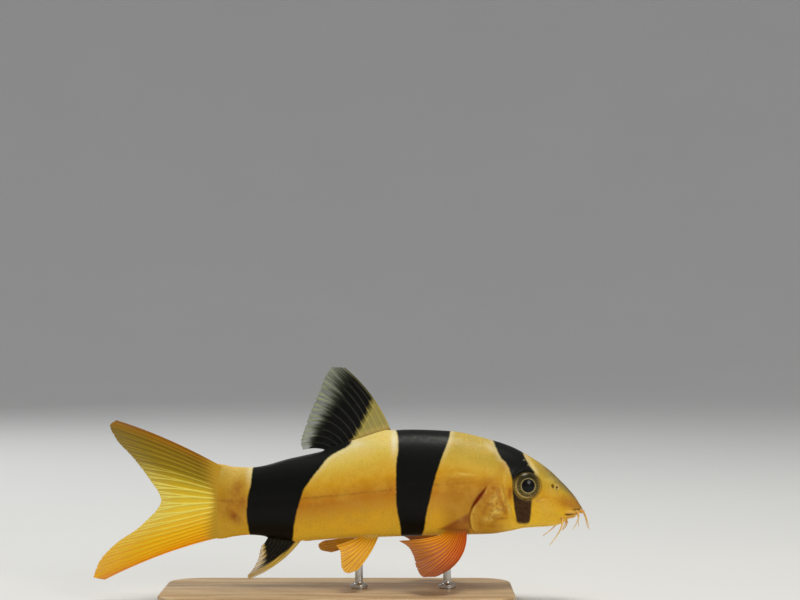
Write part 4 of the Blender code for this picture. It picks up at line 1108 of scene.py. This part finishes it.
def pectoralColour(tree, line, out, share, speckle):
    between = ramp(tree, share, [
        (0.0, srgb(164, 56, 2)), (0.14, srgb(168, 64, 2)), (0.4, srgb(164, 72, 4)), (0.75, srgb(184, 98, 6)),
        (1.0, srgb(202, 122, 12)),
    ])
    rayColour = ramp(tree, share, [(0.0, srgb(202, 92, 4)), (0.3, srgb(216, 112, 6)), (1.0, srgb(236, 160, 20))])
    colour = blend(tree, remap(tree, line, 0.1, 0.8), between, rayColour)
    # painted shade, darker towards the fin's tip
    colour = blend(tree, remap(tree, out, 0.5, 1.0, 0.0, 0.62), colour, srgb(122, 56, 6))
    colour = blend(tree, remap(tree, out, 0.12, 0.0, 0.0, 0.7), colour, srgb(190, 124, 60))
    return blend(tree, math2(tree, "MULTIPLY", speckle, 0.15), colour, srgb(120, 54, 10))


def pelvicColour(tree, line, out, share, speckle):
    colour = blend(tree, line, srgb(212, 142, 14), srgb(242, 186, 44))
    colour = blend(tree, remap(tree, out, 0.16, 0.02, 0.0, 0.6), colour, srgb(226, 206, 118))
    return blend(tree, math2(tree, "MULTIPLY", speckle, 0.12), colour, srgb(140, 84, 14))


def pairedOpacity(tree, line, out, share):
    membrane = remap(tree, out, 0.5, 1.0, 0.98, 0.84)
    return math2(tree, "MAXIMUM", membrane, remap(tree, line, 0.2, 1.0, 0.0, 0.94))


pectoralLook = finLook("pectoralFinLook", pectoralColour, pairedOpacity)
pelvicLook = finLook("pelvicFinLook", pelvicColour, pairedOpacity)


def onSide(plan, side, root):
    placed = dict(plan, root=root)
    for part in ("bow", "edge"):
        placed[part] = [(x, side * away, z) for x, away, z in plan[part]]
    return placed


for side, name, pelvicPlan in ((-1, "Right", pelvicRightPlan), (1, "Left", pelvicLeftPlan)):
    root = [underside(25.6, side * 4.0), underside(23.7, side * 3.9), underside(21.8, side * 3.6)]
    makeFin("pectoralFin" + name, onSide(pectoralPlan, side, root), pectoralLook,
            ("pectoral_fin_" + name.lower(),))
    root = [underside(8.2, side * 2.6), underside(6.6, side * 2.6), underside(5.0, side * 2.4)]
    makeFin("pelvicFin" + name, onSide(pelvicPlan, side, root), pelvicLook,
            ("pelvic_fin_" + name.lower(),))
print("paired fins")


# The feelers: root (along, height), the point that bends it, tip, thickness and the left one's shift
barbels = {
    "rostral_outer": ((48.5, 18.65), (49.6, 1.9, 17.5), (50.1, 2.2, 14.7), 0.36, (0.0, 0.0, 0.0)),
    "rostral_inner": ((47.6, 18.5), (48.4, 3.3, 17.6), (46.6, 3.0, 14.8), 0.36, (1.7, -0.2, 0.1)),
    "maxillary": ((44.6, 17.2), (44.8, 4.6, 15.4), (41.9, 4.8, 11.9), 0.42, (-0.8, 0.2, 0.9)),
    "mandibular": ((45.6, 16.85), (45.4, 1.5, 15.4), (44.7, 1.7, 14.6), 0.3, (0.2, 0.0, -0.2)),
}
barbelForm = {"rows": 40, "sides": 16, "slimness": 0.56, "tipShare": 0.3, "flare": 0.2, "sunk": 0.35}


def barbelLook():
    look, tree, shader = newLook("barbelFlesh", Subsurface_Weight=0.08, Subsurface_Scale=0.0008, Coat_Weight=0.25,
                                 Subsurface_Radius=(1.0, 0.45, 0.2), Coat_Roughness=0.15)
    grain = useGroup(tree, wetSkin, {"Scale size": 6.0, "Unevenness": 0.8})
    out = mask(tree, "out")
    colour = ramp(tree, out, [(0.0, srgb(212, 142, 44)), (0.3, srgb(220, 164, 72)), (1.0, srgb(238, 204, 136))])
    colour = blend(tree, math2(tree, "MULTIPLY", grain.outputs["Speckle"], 0.3), colour, srgb(138, 76, 30))
    tree.links.new(colour, shader.inputs["Base Color"])
    tree.links.new(remap(tree, grain.outputs["Gloss"], 0.0, 1.0, 0.46, 0.34), shader.inputs["Roughness"])
    bump(tree, shader, grain.outputs["Height"], 0.00004, 0.6)
    return look


def makeBarbel(kind, side, name, look):
    (x, z), bend, tip, thickness, leftShift = barbels[kind]
    start, facing = skinPlace(np.array(x), np.array(z), side)
    tip = np.array([tip[0], side * tip[1], tip[2]]) + (np.array(leftShift) if side > 0 else 0.0)
    bendPoint = np.array([bend[0], side * bend[1], bend[2]])
    start = start - facing * barbelForm["sunk"]
    a, b, c, d = start, start + facing * 1.3, bendPoint, tip
    t = np.linspace(0, 1, barbelForm["rows"])[:, None]
    line = a * (1 - t) ** 3 + b * 3 * t * (1 - t) ** 2 + c * 3 * t * t * (1 - t) + d * t ** 3
    tangent = np.gradient(line, axis=0)
    tangent /= np.linalg.norm(tangent, axis=1, keepdims=True)
    across = np.cross(tangent, [0.0, side, 0.4])
    across /= np.linalg.norm(across, axis=1, keepdims=True)
    other = np.cross(tangent, across)
    along = t[:, 0]
    thick = thickness * barbelForm["slimness"] * (1 - (1 - barbelForm["tipShare"]) * along ** 1.3)
    thick += barbelForm["flare"] * hill(along, 0.09)
    thick *= np.sqrt(np.clip(1 - ((along - 0.96) / 0.04).clip(0, 1) ** 2, 0.02, 1))
    turn = np.arange(barbelForm["sides"]) / barbelForm["sides"] * 2 * math.pi
    ring = across[:, None, :] * np.cos(turn)[None, :, None] + other[:, None, :] * np.sin(turn)[None, :, None]
    points, faces = tube(line[:, None, :] + ring * thick[:, None, None])
    masks = {"out": np.repeat(along, barbelForm["sides"])}
    title = "barbel_" + kind + "_" + name.lower()
    newPiece("feeler" + kind.title().replace("_", "") + name, points, faces, look, (title,), masks)


feelerLook = barbelLook()
for side, name in ((-1, "Right"), (1, "Left")):
    for kind in barbels:
        makeBarbel(kind, side, name, feelerLook)
print("feelers")


# The stand: a flat oak base and two steel rods
stand = {
    "length": 70.0, "depth": 34.0, "height": 3.0, "corner": 7.0, "ease": 0.5,
    "rodRadius": 0.8, "footRadius": 1.7, "footHeight": 0.8, "gap": 0.3,
    "rods": {"stand_rod_front": 21.8, "stand_rod_rear": 4.2},
}


def woodLook():
    look, tree, shader = newLook("paleOak", Coat_Weight=0.12, Coat_Roughness=0.3)
    place = millimetres(tree)
    bentGrain = math2(tree, "MULTIPLY", noise(tree, stretched(tree, place, (0.02, 0.09, 0.09)), 1.0, 3.0), 9.0)
    parts = put(tree, "SeparateXYZ", {"Vector": place})
    rings = math2(tree, "ADD", math2(tree, "MULTIPLY", parts.outputs["Y"], 0.32), bentGrain)
    rings = math2(tree, "SINE", math2(tree, "MULTIPLY", rings, 2.6))
    late = remap(tree, rings, -0.2, 0.95)
    fibre = noise(tree, stretched(tree, place, (0.35, 6.0, 6.0)), 1.0, 5.0, 0.65)
    pores = remap(tree, noise(tree, stretched(tree, place, (0.5, 9.0, 9.0)), 1.0, 2.0), 0.62, 0.7)
    colour = blend(tree, math2(tree, "MULTIPLY", late, 0.6), srgb(206, 176, 132), srgb(170, 134, 88))
    colour = blend(tree, remap(tree, fibre, 0.35, 0.7, 0.0, 0.4), colour, srgb(150, 116, 74))
    colour = blend(tree, math2(tree, "MULTIPLY", pores, 0.5), colour, srgb(110, 80, 48))
    tree.links.new(colour, shader.inputs["Base Color"])
    tree.links.new(remap(tree, fibre, 0.3, 0.7, 0.4, 0.56), shader.inputs["Roughness"])
    height = math2(tree, "SUBTRACT", fibre, pores)
    bump(tree, shader, height, 0.00006, 0.5)
    return look


def steelLook():
    look, tree, shader = newLook("satinSteel", Metallic=1.0)
    place = millimetres(tree)
    brushed = noise(tree, stretched(tree, place, (0.4, 0.4, 14.0)), 1.0, 3.0)
    tree.links.new(blend(tree, brushed, srgb(190, 190, 188), srgb(206, 206, 202)), shader.inputs["Base Color"])
    tree.links.new(remap(tree, brushed, 0.3, 0.7, 0.24, 0.31), shader.inputs["Roughness"])
    bump(tree, shader, brushed, 0.000004, 0.15)
    return look


def makeBase():
    steps, edgeSteps = 16, 8
    outline = []
    for xSide, ySide, first in ((1, 1, 0), (-1, 1, 90), (-1, -1, 180), (1, -1, 270)):
        middle = xSide * (stand["length"] / 2 - stand["corner"]), ySide * (stand["depth"] / 2 - stand["corner"])
        for k in range(steps + 1):
            angle = math.radians(first + 90 * k / steps)
            outline.append((*middle, math.cos(angle), math.sin(angle)))
    outline = np.array(outline)
    quarter = np.linspace(0, quarterTurn, edgeSteps + 1)
    rise = stand["ease"] * (1 - np.cos(quarter))
    pulled = stand["ease"] * (1 - np.sin(quarter))
    levels = list(zip(rise, pulled)) + list(zip(stand["height"] - rise[::-1], pulled[::-1]))
    rings = np.array([
        np.column_stack([
            outline[:, 0] + (stand["corner"] - inward) * outline[:, 2],
            outline[:, 1] + (stand["corner"] - inward) * outline[:, 3],
            np.full(len(outline), z),
        ]) for z, inward in levels
    ])
    points, faces = tube(rings)
    newPiece("standBase", points, faces, woodLook(), ("stand_base",), swings=False, sharp=30)


def makeRods():
    look = steelLook()
    foot = stand["height"] + stand["gap"] * 0.1
    top = foot + stand["footHeight"]
    fillet = np.linspace(0, quarterTurn, 9)
    turn = np.arange(48) / 48 * 2 * math.pi
    for node, x in stand["rods"].items():
        profile = [(foot, stand["footRadius"] - 0.12), (foot + 0.05, stand["footRadius"])]
        profile += [(top - 0.15 + 0.15 * math.sin(a), stand["footRadius"] - 0.15 * (1 - math.cos(a))) for a in fillet]
        profile += [(top + 0.5 * (1 - math.cos(a)), stand["rodRadius"] + 0.5 * (1 - math.sin(a))) for a in fillet]
        belly = float(bellyHeight(x))
        profile += [(z, stand["rodRadius"]) for z in np.linspace(top + 0.7, belly + 0.35, 14)]
        rings = np.array([
            np.column_stack([x + r * np.cos(turn), r * np.sin(turn), np.full(48, z)]) for z, r in profile
        ])
        points, faces = tube(rings)
        newPiece(node.replace("stand_rod_", "rod").replace("rodf", "rodF").replace("rodr", "rodR"), points, faces,
                 look, (node,), swings=False, sharp=40)


makeBase()
makeRods()
print("stand")


# The studio: a pale floor that curves up into its own backdrop all round, soft lights and the photo's camera
studio = {
    "floorReach": 0.9, "bowlReach": 2.2, "bowlHeight": 1.6,
    "worldColour": (0.92, 0.95, 1.0), "worldStrength": 0.34,
    "lights": {
        # place, what it faces, size, watts, colour
        "top": ((0.06, -0.12, 0.62), (0.0, 0.0, 0.02), 0.3, 2.3, (1.0, 0.98, 0.92)),
        "front": ((0.4, -0.6, 0.3), (0.01, 0.0, 0.02), 0.25, 1.2, (1.0, 0.97, 0.92)),
        "behind": ((-0.3, 0.45, 0.4), (0.0, 0.0, 0.02), 0.3, 1.0, (0.93, 0.97, 1.0)),
    },
    "cameraPlace": (0.0124, -0.45, 0.0606), "lens": 101.25, "sensor": 36.0,
}


def makeFloor():
    rows, turns = 60, 128
    t = np.linspace(0, 1, rows)
    away = studio["floorReach"] * t
    height = np.zeros(rows)
    curve = np.linspace(0, quarterTurn, 30)[1:]
    reach = studio["bowlReach"] - studio["floorReach"]
    away = np.concatenate([away, studio["floorReach"] + reach * np.sin(curve)])
    height = np.concatenate([height, studio["bowlHeight"] * (1 - np.cos(curve))])
    turn = np.arange(turns) / turns * 2 * math.pi
    points = np.stack([away[1:, None] * np.cos(turn), away[1:, None] * np.sin(turn),
                       height[1:, None] + 0 * turn], -1)
    rings = points.shape[0]
    flat = np.concatenate([points.reshape(-1, 3), [[0.0, 0.0, 0.0]]])
    faces = [(rings * turns, k, (k + 1) % turns) for k in range(turns)]
    for i in range(rings - 1):
        here, there = i * turns, (i + 1) * turns
        faces += [(here + k, there + k, there + (k + 1) % turns, here + (k + 1) % turns) for k in range(turns)]
    mesh = bpy.data.meshes.new("studioFloor")
    mesh.from_pydata(flat.tolist(), [], faces)
    mesh.shade_smooth()
    look, tree, shader = newLook("paleFloor", Roughness=0.75, Specular_IOR_Level=0.2)
    soft = noise(tree, millimetres(tree), 0.01, 2.0)
    tree.links.new(blend(tree, soft, srgb(226, 225, 222), srgb(230, 229, 226)), shader.inputs["Base Color"])
    mesh.materials.append(look)
    floor = bpy.data.objects.new("studioFloor", mesh)
    bpy.context.scene.collection.objects.link(floor)


def makeLights():
    for name, (place, target, size, watts, colour) in studio["lights"].items():
        lamp = bpy.data.lights.new(name + "Light", "AREA")
        lamp.shape = "DISK"
        lamp.size = size
        lamp.energy = watts
        lamp.color = colour
        held = bpy.data.objects.new(name + "Light", lamp)
        held.location = place
        held.rotation_euler = (Vector(target) - Vector(place)).to_track_quat("-Z", "Y").to_euler()
        bpy.context.scene.collection.objects.link(held)
    world = bpy.data.worlds.new("studioWorld")
    world.use_nodes = True
    sky = world.node_tree.nodes["Background"]
    sky.inputs["Color"].default_value = (*studio["worldColour"], 1.0)
    sky.inputs["Strength"].default_value = studio["worldStrength"]
    bpy.context.scene.world = world


def makeCamera():
    lens = bpy.data.cameras.new("photoCamera")
    lens.lens = studio["lens"]
    lens.sensor_width = studio["sensor"]
    lens.clip_start = 0.01
    lens.clip_end = 20.0
    camera = bpy.data.objects.new("photoCamera", lens)
    camera.location = studio["cameraPlace"]
    camera.rotation_euler = (math.radians(90), 0.0, 0.0)
    bpy.context.scene.collection.objects.link(camera)
    bpy.context.scene.camera = camera


makeFloor()
makeLights()
makeCamera()
bpy.context.scene.view_settings.view_transform = "Standard"
bpy.context.view_layer.update()
print("studio")
